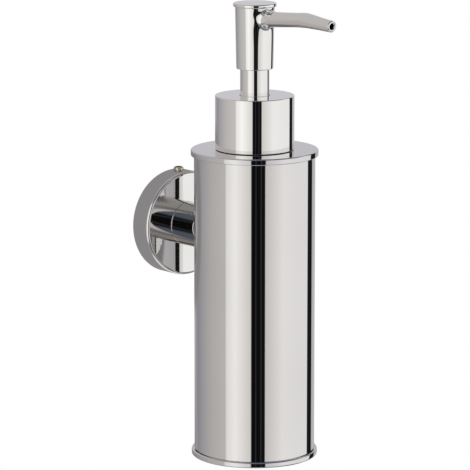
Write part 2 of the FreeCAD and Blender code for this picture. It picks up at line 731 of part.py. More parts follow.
def make_pump_stem():
    """Hollow rod from the pump head to the piston, closed at its foot, with two pairs of side ports."""
    body = new_body("pump_stem")
    flange = "stem_foot + stem_collar_height"
    collar = flange + " + seal_height + stem_gap * 4"
    revolve(body, (
        ("0", "stem_foot"),
        ("stem_collar_radius", "stem_foot"),
        ("stem_collar_radius", flange),
        ("stem_radius", flange),
        ("stem_radius", collar),
        ("stem_collar_radius", collar),
        ("stem_collar_radius", "guide_foot - stem_gap * 2"),
        ("stem_radius", "guide_foot - stem_gap * 2"),
        ("stem_radius", "stem_head"),
        ("stem_bore", "stem_head"),
        ("stem_bore", flange),
        ("0", flange),
    ))
    for role in ("XZ_Plane", "YZ_Plane"):
        port = new_sketch(body, "port_outline_" + role[:2], role)
        add_circle(port, "port_radius", ("0", flange + " + seal_height / 2"))
        cut(body, port, "stem_radius * 4", "port_" + role[:2], middle=True)


def make_piston_seal():
    """Soft piston with an upper and a lower lip, loose on the stem between its two collars."""
    body = new_body("piston_seal")
    low = "stem_foot + stem_collar_height + stem_gap * 2"
    lip = "housing_bore - stem_gap"
    revolve(body, (
        ("stem_radius + stem_gap", low),
        (lip, low),
        ("seal_waist", low + " + seal_height / 3"),
        ("seal_waist", low + " + seal_height * 2 / 3"),
        (lip, low + " + seal_height"),
        ("stem_radius + stem_gap", low + " + seal_height"),
    ))


def make_return_spring():
    """Compression spring between the spring seat and the foot of the stem."""
    body = new_body("return_spring")
    foot = "housing_floor + spring_seat_height + spring_wire + stem_gap"
    wire = new_sketch(body, "wire_section", "XZ_Plane")
    add_circle(wire, "spring_wire", ("spring_radius", foot))
    coil = body.newObject("PartDesign::AdditiveHelix", "coil")
    coil.Profile = wire
    coil.ReferenceAxis = (wire, ["V_Axis"])
    coil.Mode = "height-turns-growth"
    coil.setExpression("Turns", bound("spring_turns"))
    travel = "stem_foot - spring_wire * 2 - stem_gap * 2 - housing_floor - spring_seat_height"
    coil.setExpression("Height", bound(travel))
    coil.Growth = 0
    finish(body, coil)


BEND_TOP = "(spout_height + spout_bend * tan(spout_rise))"
BEND_SETBACK = "spout_bend_round * tan((spout_rise + spout_drop) / 2)"
SPOUT_STATIONS = {
    "root": ("0", "spout_height"),
    "bend_start": ("spout_bend - %s * cos(spout_rise)" % BEND_SETBACK,
                   "%s - %s * sin(spout_rise)" % (BEND_TOP, BEND_SETBACK)),
    "bend_end": ("spout_bend + %s * cos(spout_drop)" % BEND_SETBACK,
                 "%s - %s * sin(spout_drop)" % (BEND_TOP, BEND_SETBACK)),
    "tip": ("spout_tip", "%s - (spout_tip - spout_bend) * tan(spout_drop)" % BEND_TOP),
}


def add_spout_path(body):
    """The spout's centre line: a rising run, a tangent arc and a falling run out along -Y."""
    sketch = new_sketch(body, "spout_path", "YZ_Plane")
    for index, ends in enumerate((("root", "bend_start"), ("bend_end", "tip"))):
        line = Part.LineSegment(Vector(0, 0, 0), Vector(-1, index, 0))
        sketch.addGeometry(line, False)
        for position, station in enumerate(ends, start=1):
            distance, height = SPOUT_STATIONS[station]
            hold_point(sketch, index, position, ("0 - (%s)" % distance, height))
    doc.recompute()
    rising, falling = sketch.Geometry
    run = rising.EndPoint - rising.StartPoint
    radius = size("spout_bend_round")
    centre = rising.EndPoint - Vector(run.y, -run.x, 0).normalize() * radius
    circle = Part.Circle(centre, Vector(0, 0, 1), radius)
    ends = circle.parameter(rising.EndPoint), circle.parameter(falling.StartPoint)
    arc = Part.ArcOfCircle(circle, *ends)
    sketch.addGeometry(arc, False)
    sketch.addConstraint(Sketcher.Constraint("Coincident", 0, 2, 2, 1))
    sketch.addConstraint(Sketcher.Constraint("Coincident", 2, 2, 1, 1))
    hold(sketch, Sketcher.Constraint("Radius", 2, radius), "bend_radius", "spout_bend_round")
    return sketch


def add_spout_section(body, station, tilt, radius):
    """A circle square to the spout's centre line at one of its stations."""
    distance, height = SPOUT_STATIONS[station]
    sketch = new_sketch(body, "section_" + station, "XZ_Plane")
    sketch.AttachmentOffset = Placement(Vector(0, 0, 0), Rotation(Vector(1, 0, 0), -1))
    sketch.setExpression("AttachmentOffset.Base.z", bound(distance))
    sketch.setExpression("AttachmentOffset.Base.y", bound(height))
    sketch.setExpression("AttachmentOffset.Rotation.Angle", bound(tilt))
    add_circle(sketch, radius)
    return sketch


def spout_root_edges(shape):
    """Names of the edges where the spout leaves the pump head's barrel."""
    names = []
    reach = size("head_top") - size("spout_height")
    for index, edge in enumerate(shape.Edges, start=1):
        points = edge.discretize(5)
        radii = [math.hypot(point.x, point.y) for point in points]
        rises = [abs(point.z - size("spout_height")) for point in points]
        on_barrel = min(radii) > size("head_foot_radius") and max(radii) < size("cap_radius")
        if on_barrel and max(rises) < reach - TOLERANCE:
            names.append("Edge%d" % index)
    return names


def tip_edges(shape):
    """Names of the outer edges round the spout's end."""
    names = []
    near_tip = size("spout_bore") - size("spout_tip")
    for index, edge in enumerate(shape.Edges, start=1):
        box = edge.BoundBox
        if box.YMax < near_tip and box.XLength > size("spout_bore") * 2 + TOLERANCE:
            names.append("Edge%d" % index)
    return names


def make_pump_head():
    """Pump head that slides over the neck sleeve, in one piece with its spout."""
    body = new_body("pump_head")
    socket = "stem_radius + thread_gap"
    revolve(body, (
        ("head_skirt_bore", "head_foot"),
        ("head_foot_radius", "head_foot"),
        ("head_top_radius", "head_top"),
        ("head_recess_radius + thread_gap", "head_top"),
        ("head_recess_radius + thread_gap", "head_top - head_recess_depth"),
        ("0", "head_top - head_recess_depth"),
        ("0", "spout_height"),
        ("head_channel", "spout_height"),
        ("head_channel", "stem_head"),
        (socket, "stem_head"),
        (socket, "head_skirt_top"),
        ("head_skirt_bore", "head_skirt_top"),
    ), name="barrel")
    path = add_spout_path(body)
    sections = [
        add_spout_section(body, "root", "0 - spout_rise", "spout_root_radius"),
        add_spout_section(body, "bend_start", "0 - spout_rise", "spout_bend_radius"),
        add_spout_section(body, "bend_end", "spout_drop", "spout_bend_radius"),
        add_spout_section(body, "tip", "spout_drop", "spout_tip_radius"),
    ]
    spout = body.newObject("PartDesign::AdditivePipe", "spout")
    spout.Profile = sections[0]
    spout.Spine = path
    spout.Transformation = "Multisection"
    spout.Sections = [(section, [""]) for section in sections[1:]]
    finish(body, spout)
    fillet(body, spout_root_edges(body.Tip.Shape), "spout_fillet", "spout_root_blend")
    bore = new_sketch(body, "bore_section", "XZ_Plane")
    add_circle(bore, "spout_bore", ("0", "spout_height"))
    channel = body.newObject("PartDesign::SubtractivePipe", "spout_channel")
    channel.Profile = bore
    channel.Spine = path
    finish(body, channel)
    fillet(body, tip_edges(body.Tip.Shape), "tip_round", "tip_edge")
    foot = circle_edges(body.Tip.Shape, size("head_foot_radius"), size("head_foot"))
    fillet(body, foot, "cap_round / 2", "foot_edge")


def make_head_cap():
    """Disc plugged into the top of the pump head, a little wider than it."""
    body = new_body("head_cap")
    top = "head_top + cap_height"
    revolve(body, (
        ("0", "head_top - head_recess_depth + thread_gap"),
        ("head_recess_radius", "head_top - head_recess_depth + thread_gap"),
        ("head_recess_radius", "head_top"),
        ("cap_radius", "head_top"),
        ("cap_radius", top),
        ("0", top),
    ))
    edges = circle_edges(body.Tip.Shape, size("cap_radius"), size("head_top"))
    upper = size("head_top") + size("cap_height")
    edges += circle_edges(body.Tip.Shape, size("cap_radius"), upper)
    fillet(body, edges, "cap_round", "disc_edges")


PIECE_TYPES = ("PartDesign::Body", "Part::Sphere")


def check_document():
    """Stop if any object failed, or any piece has no single valid solid."""
    for item in doc.Objects:
        if {"Invalid", "Error"} & set(item.State):
            raise RuntimeError("%s failed: %s" % (item.Label, item.getStatusString()))
    pieces = [item for item in doc.Objects if item.TypeId in PIECE_TYPES]
    for piece in pieces:
        if piece.Shape.isNull() or not piece.Shape.isValid() or len(piece.Shape.Solids) != 1:
            raise RuntimeError("%s has no valid single solid" % piece.Label)
    return pieces


def write_parts(pieces):
    """Write each piece to its own file, named by its label."""
    os.makedirs("parts", exist_ok=True)
    for piece in pieces:
        piece.Shape.exportStep(os.path.join("parts", piece.Label + ".step"))
        print("%-20s %9.1f mm3" % (piece.Label, piece.Shape.Volume))


fill_sheet()
make_wall_bracket()
make_rosette()
make_set_screw()
make_support_arm()
make_arm_screw()
make_lock_washer()
make_canister_tube()
make_canister_screw()
make_saddle_washer()
make_top_cap()
make_bottom_cap()
make_inner_bottle()
make_neck_gasket()
make_pump_housing()
make_dip_tube()
make_spring_seat()
make_inlet_ball()
make_stem_guide()
make_neck_sleeve()
make_screw_closure()
make_collar_shell()
make_pump_stem()
make_piston_seal()
make_return_spring()
make_pump_head()
make_head_cap()
doc.recompute()
write_parts(check_document())
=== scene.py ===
import math

import bmesh
import bpy
from bpy.props import FloatProperty, FloatVectorProperty, IntProperty, PointerProperty
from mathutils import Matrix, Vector


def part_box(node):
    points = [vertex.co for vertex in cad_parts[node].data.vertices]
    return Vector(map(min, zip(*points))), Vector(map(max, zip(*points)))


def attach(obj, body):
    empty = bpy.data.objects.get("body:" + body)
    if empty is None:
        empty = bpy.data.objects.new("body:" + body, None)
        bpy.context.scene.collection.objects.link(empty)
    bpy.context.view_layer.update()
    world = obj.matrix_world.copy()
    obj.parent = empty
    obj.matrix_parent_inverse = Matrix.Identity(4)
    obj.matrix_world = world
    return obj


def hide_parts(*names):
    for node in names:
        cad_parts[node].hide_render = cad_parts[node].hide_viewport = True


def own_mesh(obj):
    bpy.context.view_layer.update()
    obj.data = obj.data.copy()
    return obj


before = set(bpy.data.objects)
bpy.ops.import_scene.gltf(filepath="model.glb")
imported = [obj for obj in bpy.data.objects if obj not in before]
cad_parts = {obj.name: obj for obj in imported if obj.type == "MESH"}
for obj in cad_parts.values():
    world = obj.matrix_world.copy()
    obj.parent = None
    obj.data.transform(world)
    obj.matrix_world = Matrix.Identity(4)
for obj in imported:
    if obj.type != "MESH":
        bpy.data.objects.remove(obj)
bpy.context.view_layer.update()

bl_info = {
    "name": "Wall soap dispenser",
    "version": (1, 0, 0),
    "blender": (4, 5, 0),
    "location": "3D View > Sidebar > Dispenser",
    "description": "Builds the finished surfaces of a wall mounted soap dispenser on its packed frame",
    "category": "Object",
}

MM = 0.001
TOUCH = 0.002 * MM


def half_width(node):
    """Half of a node's width along X, which is the radius of a round one."""
    low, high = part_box(node)
    return (high.x - low.x) / 2


def foot(node):
    """Lowest height of a node."""
    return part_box(node)[0].z


def crown(node):
    """Highest height of a node."""
    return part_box(node)[1].z


def middle(node):
    """Centre of a node's box."""
    low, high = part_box(node)
    return (low + high) / 2


PUMP_AXIS = Vector((middle("top_cap").x, middle("top_cap").y, 0.0))
WALL_AXIS = Vector((middle("rosette").x, 0.0, middle("rosette").z))
UP = Vector((0, 0, 1))
OUT = Vector((0, -1, 0))
TURNS = {"Z": (0, 0, 1), "Y": (0, 1, 0)}

# Pump head: a barrel that widens upwards, and a spout that rises, bends and falls a little
HEAD_SIDES = 32
HEAD_FOOT = 7.6 * MM
HEAD_TOP = 8.1 * MM
SPOUT_ROOT = 91.2 * MM
SPOUT_RISE = math.tan(math.radians(4.9))
SPOUT_FALL = math.tan(math.radians(3.9))
SPOUT_BEND = 31.6 * MM
SPOUT_TIP = 47.3 * MM
SPOUT_SOFT = 2.2 * MM
SPOUT_THICKNESS = (
    (0, 3.3), (20, 2.96), (27, 2.9), (30.5, 3.06), (33, 2.98), (38, 2.7), (42, 2.5), (47.3, 2.36))
SPOUT_RINGS = [reach * MM for reach in (
    10.3, 12.2, 16, 21, 26, 28.6, 30, 31.4, 32.8, 34.2, 38, 42, 45.4, 46.58, 46.9)]

# The round patch the spout grows from: row heights, ring sizes and how far its corners swell
PATCH_ROWS = [step * MM for step in (-4.3, -2.9, -1.45, 0, 1.5, 3.0, 4.35)]
PATCH_RINGS = ((1.8, 1.8), (3.8, 3.8), (5.0, 4.35))
PATCH_CORNER = (0.5, 2.1)
PATCH_BULGE = 0.3 * MM
PATCH_REACH = 3.7 * MM

# Painted shade: how much darker the arm's plate is painted, for the darker surroundings it mirrors; and
# the grey card behind the rosette, which glows grey in place of the wall's shade
ARM_SHADE = 0.7
CARD_SIZE = 92 * MM
CARD_BEHIND = 4 * MM
CARD_FADE = (34 * MM, 45 * MM)
# Grey of the card's glow: painted shade of the wall behind the rosette, seen only in reflections
WALL_SHADE_GREY = (0.28, 0.27, 0.275)

# Panels round the studio, in degrees from the front towards +X: start, end, and the colour at each
PANEL_EDGE = 0.7
STUDIO_PANELS = (
    (-181, -153, (0.31, 0.30, 0.33), (0.44, 0.43, 0.44)),
    (-153, -130, (0.44, 0.43, 0.44), (0.54, 0.525, 0.52)),
    (-130, -97, (0.54, 0.525, 0.52), (0.62, 0.60, 0.585)),
    (-97, -78, (0.92, 0.905, 0.88), (1.09, 1.08, 1.06)),
    (-78, -46.7, (1.09, 1.08, 1.06), (0.78, 0.76, 0.73)),
    (-46.7, -38.7, (0.004, 0.004, 0.005), (0.006, 0.006, 0.007)),
    (-38.7, -37.8, (0.05, 0.05, 0.055), (0.05, 0.05, 0.055)),
    (-37.8, -28.5, (0.005, 0.005, 0.006), (0.006, 0.006, 0.007)),
    (-28.5, -27.6, (0.05, 0.05, 0.05), (0.05, 0.05, 0.05)),
    (-27.6, -20.7, (0.006, 0.006, 0.006), (0.010, 0.009, 0.008)),
    (-20.7, 15, (0.70, 0.685, 0.66), (0.98, 0.965, 0.955)),
    (15, 81, (0.98, 0.965, 0.955), (0.92, 0.91, 0.905)),
    (81, 101, (0.015, 0.017, 0.016), (0.006, 0.006, 0.006)),
    (101, 140, (0.54, 0.535, 0.54), (0.63, 0.62, 0.645)),
    (140, 181, (0.63, 0.62, 0.645), (0.31, 0.30, 0.33)),
)

# Patches painted over the panels in turn: the colour, then what fades it in or out, from where to where.
# "aside" is the azimuth and "steep" the height, both without their sign.
STUDIO_PATCHES = (
    ((0.31, 0.30, 0.305), ("steep", 30, 40)),
    ((0.13, 0.15, 0.19), ("aside", 70, 45), ("steep", 18, 26)),
    ((0.56, 0.535, 0.52), ("aside", 120, 140), ("height", -7, 8)),
    ((0.50, 0.44, 0.41), ("aside", 120, 140), ("height", -14, -22)),
    ((0.62, 0.61, 0.645), ("azimuth", 116, 124), ("azimuth", 154, 147), ("height", 1, 6),
     ("height", 22, 16)),
    ((0.08, 0.075, 0.075), ("azimuth", 122, 130), ("azimuth", 170, 162), ("height", -13, -17),
     ("height", -44, -39)),
    ((0.78, 0.77, 0.76), ("height", -54, -62)),
)


def barrel_radius(height):
    """Radius of the pump head at a height."""
    low, high = foot("pump_head"), crown("pump_head")
    return HEAD_FOOT + (HEAD_TOP - HEAD_FOOT) * (height - low) / (high - low)


def spout_line(reach):
    """Point on the spout's centre line at a reach from the pump axis."""
    bent = min(max(reach - SPOUT_BEND + SPOUT_SOFT, 0), 2 * SPOUT_SOFT)
    past = max(reach - SPOUT_BEND - SPOUT_SOFT, 0)
    drop = (SPOUT_RISE + SPOUT_FALL) * (bent * bent / (4 * SPOUT_SOFT) + past)
    return PUMP_AXIS + Vector((0, -reach, SPOUT_ROOT + reach * SPOUT_RISE - drop))


def spout_tilt(reach):
    """Rise of the spout's line at a reach, as an angle."""
    step = spout_line(reach + 0.01 * MM) - spout_line(reach - 0.01 * MM)
    return math.atan2(step.z, -step.y)


def spout_radius(reach):
    """Outer radius of the spout at a reach."""
    for (near, thick), (far, thin) in zip(SPOUT_THICKNESS, SPOUT_THICKNESS[1:]):
        if reach <= far * MM + TOUCH:
            return (thick + (thin - thick) * (reach / MM - near) / (far - near)) * MM
    raise ValueError("the spout ends before %.1f mm" % (reach / MM))


def smooth_loss(sides):
    """How much a ring of that many sides is made larger, because smoothing draws it in."""
    return 3 / (2 + math.cos(2 * math.pi / sides))


# Sizes and colours that a user would change


def length(name, default, description):
    """A setting in metres."""
    return FloatProperty(name=name, description=description, default=default, unit="LENGTH")


def tint(name, default, description):
    """A colour setting."""
    return FloatVectorProperty(
        name=name, description=description, subtype="COLOR", default=default, min=0, max=1)


class DispenserSizes(bpy.types.PropertyGroup):
    """Edge radii and small sizes of the visible pieces."""

    turn_steps: IntProperty(
        name="Turning steps", description="Segments round a turned piece", default=160, min=32)
    flange_round: length("Flange edge", 0.6 * MM, "Edge radius of the canister's two caps")
    rosette_round: length("Rosette edge", 1.2 * MM, "Edge radius of the rosette's front")
    collar_round: length("Collar edge", 0.4 * MM, "Edge radius of the collar's top")
    disc_round: length("Head disc edge", 0.5 * MM, "Edge radius of the disc on the pump head")
    thread_pitch: length("Bottle thread pitch", 3.2 * MM, "Rise of the bottle's thread in one turn")


class DispenserFinishes(bpy.types.PropertyGroup):
    """Colours and gloss of the materials."""

    chrome: tint("Chrome", (0.865, 0.86, 0.85), "Tint of the polished plate")
    canister: tint("Canister", (0.75, 0.74, 0.735), "Tint of the canister's polished steel")
    cap: tint("Canister caps", (0.725, 0.72, 0.73), "Tint of the canister's two caps")
    polish: FloatProperty(
        name="Polish", description="Mean roughness of the polished metal",
        default=0.025, min=0, max=1)
    brass: tint("Set screw", (0.84, 0.79, 0.64), "Tint of the plated brass set screw")
    steel: tint("Steel", (0.56, 0.56, 0.55), "Tint of the bracket and screws")
    bottle: tint("Bottle", (0.86, 0.88, 0.86), "Colour of the milky bottle and tube")
    moulding: tint("Mouldings", (0.85, 0.85, 0.83), "Colour of the white pump mouldings")


class StudioSettings(bpy.types.PropertyGroup):
    """Light, floor and camera."""

    backdrop: FloatProperty(
        name="Backdrop", description="Brightness of the bare background", default=1.0, min=0)
    floor_drop: length("Floor drop", 0.5, "How far the floor lies below the wall fixing")
    floor_size: length("Floor size", 1.9, "Width of the floor")
    azimuth: FloatProperty(
        name="Camera azimuth", description="Degrees from straight in front, towards +X",
        default=-40.22)
    elevation: FloatProperty(
        name="Camera elevation", description="Degrees above level", default=11.29)
    distance: length("Camera distance", 1.338, "From the camera to its aim")
    lens: FloatProperty(name="Lens", description="Focal length in millimetres", default=248.0)
    aim_right: length("Aim sideways", -8.084 * MM, "Aim to the right of the canister's axis")
    aim_up: length("Aim height", 1.428 * MM, "Aim above the wall fixing's centre")
    lamp_power: FloatProperty(
        name="Lamp power", description="Watts of the soft lamp", default=14.0, min=0)


# Modelling by hand


def select_none():
    """Leave nothing selected, out of edit mode."""
    if bpy.context.object and bpy.context.object.mode != "OBJECT":
        bpy.ops.object.mode_set(mode="OBJECT")
    bpy.ops.object.select_all(action="DESELECT")


def take(piece):
    """Select one piece and make it active."""
    select_none()
    piece.select_set(True)
    bpy.context.view_layer.objects.active = piece


def rename(piece, name):
    """Name a piece and its mesh."""
    piece.name = name
    piece.data.name = name
    return piece


def select_parts(piece, kind, wanted):
    """In edit mode, select the verts, edges or faces for which wanted(element) is true."""
    bpy.ops.mesh.select_all(action="DESELECT")
    bpy.ops.mesh.select_mode(type={"verts": "VERT", "edges": "EDGE", "faces": "FACE"}[kind])
    mesh = bmesh.from_edit_mesh(piece.data)
    count = 0
    for element in getattr(mesh, kind):
        if wanted(element):
            element.select_set(True)
            count += 1
    bmesh.update_edit_mesh(piece.data)
    if not count:
        raise RuntimeError("%s: no %s to select" % (piece.name, kind))


def near_one_of(points):
    """A test for verts that lie on one of the points."""
    return lambda vert: min((vert.co - point).length for point in points) < TOUCH


def draw_outline(name, points, closed):
    """Draw an outline: a plane merged to one corner, then extruded from point to point."""
    select_none()
    bpy.ops.mesh.primitive_plane_add(size=MM, location=points[0])
    piece = rename(bpy.context.object, name)
    bpy.ops.object.transform_apply(location=True)
    bpy.ops.object.mode_set(mode="EDIT")
    bpy.ops.mesh.select_mode(type="VERT")
    bpy.ops.mesh.select_all(action="SELECT")
    bpy.ops.mesh.merge(type="CENTER")
    for near, far in zip(points, points[1:]):
        bpy.ops.mesh.extrude_vertices_move(TRANSFORM_OT_translate={"value": tuple(far - near)})
    if closed:
        ends = (points[0], points[-1])
        select_parts(piece, "verts", near_one_of(ends))
        bpy.ops.mesh.edge_face_add()
    return piece


def turned(name, outline, rounds=(), centre=PUMP_AXIS, along="Z", closed=True):
    """Turn an outline of (radius, height) pairs; rounds holds (radius, corner numbers) to round."""
    steps = bpy.context.scene.dispenser_sizes.turn_steps
    if along == "Z":
        points = [centre + Vector((radius, 0, height)) for radius, height in outline]
    else:
        points = [centre + Vector((radius, height, 0)) for radius, height in outline]
    piece = draw_outline(name, points, closed)
    for radius, corners in rounds:
        select_parts(piece, "verts", near_one_of([points[corner] for corner in corners]))
        bpy.ops.mesh.bevel(
            offset=radius, offset_type="OFFSET", affect="VERTICES",
            segments=max(3, round(radius / MM * 8)))
    bpy.ops.mesh.select_all(action="SELECT")
    bpy.ops.mesh.spin(steps=steps, angle=2 * math.pi, center=centre, axis=TURNS[along])
    bpy.ops.mesh.select_all(action="SELECT")
    bpy.ops.mesh.remove_doubles(threshold=1e-7)
    bpy.ops.mesh.normals_make_consistent(inside=False)
    bpy.ops.object.mode_set(mode="OBJECT")
    return piece


def peg(radius, start, end, sides=96):
    """A plain rod between two points, used only to cut with."""
    select_none()
    run = end - start
    bpy.ops.mesh.primitive_cylinder_add(
        vertices=sides, radius=radius, depth=run.length, location=(start + end) / 2,
        rotation=run.to_track_quat("Z", "Y").to_euler())
    rod = rename(bpy.context.object, "cutter")
    bpy.ops.object.transform_apply(location=True, rotation=True)
    return rod


def carve(piece, tool):
    """Cut a tool out of a piece, then throw the tool away."""
    take(piece)
    modifier = piece.modifiers.new("carve", "BOOLEAN")
    modifier.operation = "DIFFERENCE"
    modifier.solver = "EXACT"
    modifier.object = tool
    bpy.ops.object.modifier_apply(modifier=modifier.name)
    bpy.data.objects.remove(tool)


def joined(name, pieces):
    """Join pieces into the first one."""
    select_none()
    for piece in pieces:
        piece.select_set(True)
    bpy.context.view_layer.objects.active = pieces[0]
    bpy.ops.object.join()
    return rename(bpy.context.object, name)


def helix(name, section, centre, height, pitch, turns, steps=64):
    """Sweep a closed section of (radius, height) pairs up a helix by the screw modifier."""
    points = [Vector((radius, 0, rise)) for radius, rise in section]
    piece = draw_outline(name, points, closed=True)
    bpy.ops.object.mode_set(mode="OBJECT")
    modifier = piece.modifiers.new("wind", "SCREW")
    modifier.axis = "Z"
    modifier.angle = 2 * math.pi
    modifier.iterations = math.ceil(turns)
    modifier.screw_offset = pitch
    modifier.steps = steps
    modifier.render_steps = steps
    modifier.use_merge_vertices = True
    take(piece)
    bpy.ops.object.modifier_apply(modifier=modifier.name)
    piece.location = centre + Vector((0, 0, height))
    bpy.ops.object.transform_apply(location=True)
    bpy.ops.object.mode_set(mode="EDIT")
    select_parts(piece, "edges", lambda edge: edge.is_boundary)
    bpy.ops.mesh.fill()
    bpy.ops.mesh.select_all(action="SELECT")
    bpy.ops.mesh.normals_make_consistent(inside=False)
    bpy.ops.object.mode_set(mode="OBJECT")
    return piece


def finished(piece, body, look, replaces, smooth=35):
    """Shade a piece, give it its finish and hang it on its body in place of its CAD nodes."""
    take(piece)
    bpy.ops.object.shade_smooth_by_angle(angle=math.radians(smooth))
    modifier = piece.modifiers.new("even_normals", "WEIGHTED_NORMAL")
    modifier.keep_sharp = True
    bpy.ops.object.modifier_apply(modifier=modifier.name)
    piece.data.materials.clear()
    piece.data.materials.append(finish(look))
    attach(piece, body)
    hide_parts(*replaces)
    select_none()


# Materials


def bare_material(name):
    """A new material with an empty node tree."""
    material = bpy.data.materials.new(name)
    material.use_nodes = True
    material.node_tree.nodes.clear()
    return material


def material_start(name):
    """A new material with its shader and texture coordinates."""
    material = bare_material(name)
    nodes = material.node_tree.nodes
    output = nodes.new("ShaderNodeOutputMaterial")
    shader = nodes.new("ShaderNodeBsdfPrincipled")
    material.node_tree.links.new(shader.outputs["BSDF"], output.inputs["Surface"])
    return material, shader, nodes.new("ShaderNodeTexCoord")


def noise_value(material, place, scale, low, high, detail=4.0, stretch=(1, 1, 1)):
    """A noise on object coordinates, mapped between two values."""
    nodes, links = material.node_tree.nodes, material.node_tree.links
    mapping = nodes.new("ShaderNodeMapping")
    mapping.inputs["Scale"].default_value = stretch
    links.new(place.outputs["Object"], mapping.inputs["Vector"])
    noise = nodes.new("ShaderNodeTexNoise")
    noise.inputs["Scale"].default_value = scale
    noise.inputs["Detail"].default_value = detail
    links.new(mapping.outputs["Vector"], noise.inputs["Vector"])
    spread = nodes.new("ShaderNodeMapRange")
    spread.inputs["From Min"].default_value = 0.3
    spread.inputs["From Max"].default_value = 0.7
    spread.inputs["To Min"].default_value = low
    spread.inputs["To Max"].default_value = high
    links.new(noise.outputs["Fac"], spread.inputs["Value"])
    return spread.outputs["Result"]


def tone(material, factor, first, second):
    """Mix two colours by a factor."""
    nodes, links = material.node_tree.nodes, material.node_tree.links
    mix = nodes.new("ShaderNodeMix")
    mix.data_type = "RGBA"
    mix.inputs[6].default_value = (*first, 1)
    mix.inputs[7].default_value = (*second, 1)
    links.new(factor, mix.inputs[0])
    return mix.outputs[2]


def bump(material, shader, height, strength, distance):
    """Bump the shader's normal by a height."""
    nodes, links = material.node_tree.nodes, material.node_tree.links
    node = nodes.new("ShaderNodeBump")
    node.inputs["Strength"].default_value = strength
    node.inputs["Distance"].default_value = distance
    links.new(height, node.inputs["Height"])
    links.new(node.outputs["Normal"], shader.inputs["Normal"])


def shaded(colour, share):
    """A colour made darker or lighter by a share."""
    return tuple(min(1.0, channel * share) for channel in colour)


def mirror_material(name, colour, share=1.0):
    """Mirror polished metal: faint polishing haze, a very slight ripple and a hint of uneven tint."""
    material, shader, place = material_start(name)
    links = material.node_tree.links
    shader.inputs["Metallic"].default_value = 1.0
    # A share below one darkens the whole plate: painted shade, which only the arm's plate takes
    colour = shaded(colour, share)
    patches = noise_value(material, place, 28.0, 0.0, 1.0)
    links.new(tone(material, patches, colour, shaded(colour, 0.97)), shader.inputs["Base Color"])
    mean = bpy.context.scene.dispenser_finishes.polish
    haze = noise_value(
        material, place, 190.0, mean * 0.6, mean * 1.4, detail=6.0, stretch=(1, 1, 0.35))
    links.new(haze, shader.inputs["Roughness"])
    ripple = noise_value(material, place, 60.0, 0.0, 1.0, detail=1.0)
    bump(material, shader, ripple, 0.012, 0.0002)


def plated_material(name, colour, roughness):
    """Plated steel or brass with a fine grain."""
    material, shader, place = material_start(name)
    links = material.node_tree.links
    shader.inputs["Metallic"].default_value = 1.0
    patches = noise_value(material, place, 220.0, 0.0, 1.0, detail=6.0)
    links.new(tone(material, patches, colour, shaded(colour, 0.82)), shader.inputs["Base Color"])
    grain = noise_value(material, place, 900.0, roughness * 0.7, roughness * 1.4, detail=8.0)
    links.new(grain, shader.inputs["Roughness"])
    bump(material, shader, grain, 0.15, 0.00004)


def plastic_material(name, colour, roughness, milky):
    """Moulded plastic with a fine satin grain, which lets light pass a little way in."""
    material, shader, place = material_start(name)
    links = material.node_tree.links
    clouds = noise_value(material, place, 120.0, 0.0, 1.0)
    links.new(tone(material, clouds, colour, shaded(colour, 0.94)), shader.inputs["Base Color"])
    grain = noise_value(material, place, 1400.0, roughness * 0.8, roughness * 1.25, detail=6.0)
    links.new(grain, shader.inputs["Roughness"])
    bump(material, shader, grain, 0.12, 0.00003)
    shader.inputs["Subsurface Weight"].default_value = milky
    shader.inputs["Subsurface Radius"].default_value = (0.002, 0.002, 0.0018)


# Each finish made here: its recipe, the colour setting it takes, and what else the recipe needs.
# The gasket, the saddle washer, the spring and the ball keep the frame's own plain seal_rubber and
# spring_steel.
FINISHES = {
    "mirror_chrome": (mirror_material, "chrome", {}),
    # The arm's plate: the same chrome painted darker, as painted shade for the darker surroundings it
    # mirrors
    "arm_chrome": (mirror_material, "chrome", {"share": ARM_SHADE}),
    "canister_steel": (mirror_material, "canister", {}),
    "cap_steel": (mirror_material, "cap", {}),
    "plated_steel": (plated_material, "steel", {"roughness": 0.34}),
    "plated_brass": (plated_material, "brass", {"roughness": 0.16}),
    "milky_bottle": (plastic_material, "bottle", {"roughness": 0.38, "milky": 0.35}),
    "white_moulding": (plastic_material, "moulding", {"roughness": 0.28, "milky": 0.12}),
}


def finish(look):
    """The material of a finish, made when it is first asked for."""
    if look not in bpy.data.materials:
        recipe, setting, details = FINISHES[look]
        recipe(look, tuple(getattr(bpy.context.scene.dispenser_finishes, setting)), **details)
    return bpy.data.materials[look]


# Pieces


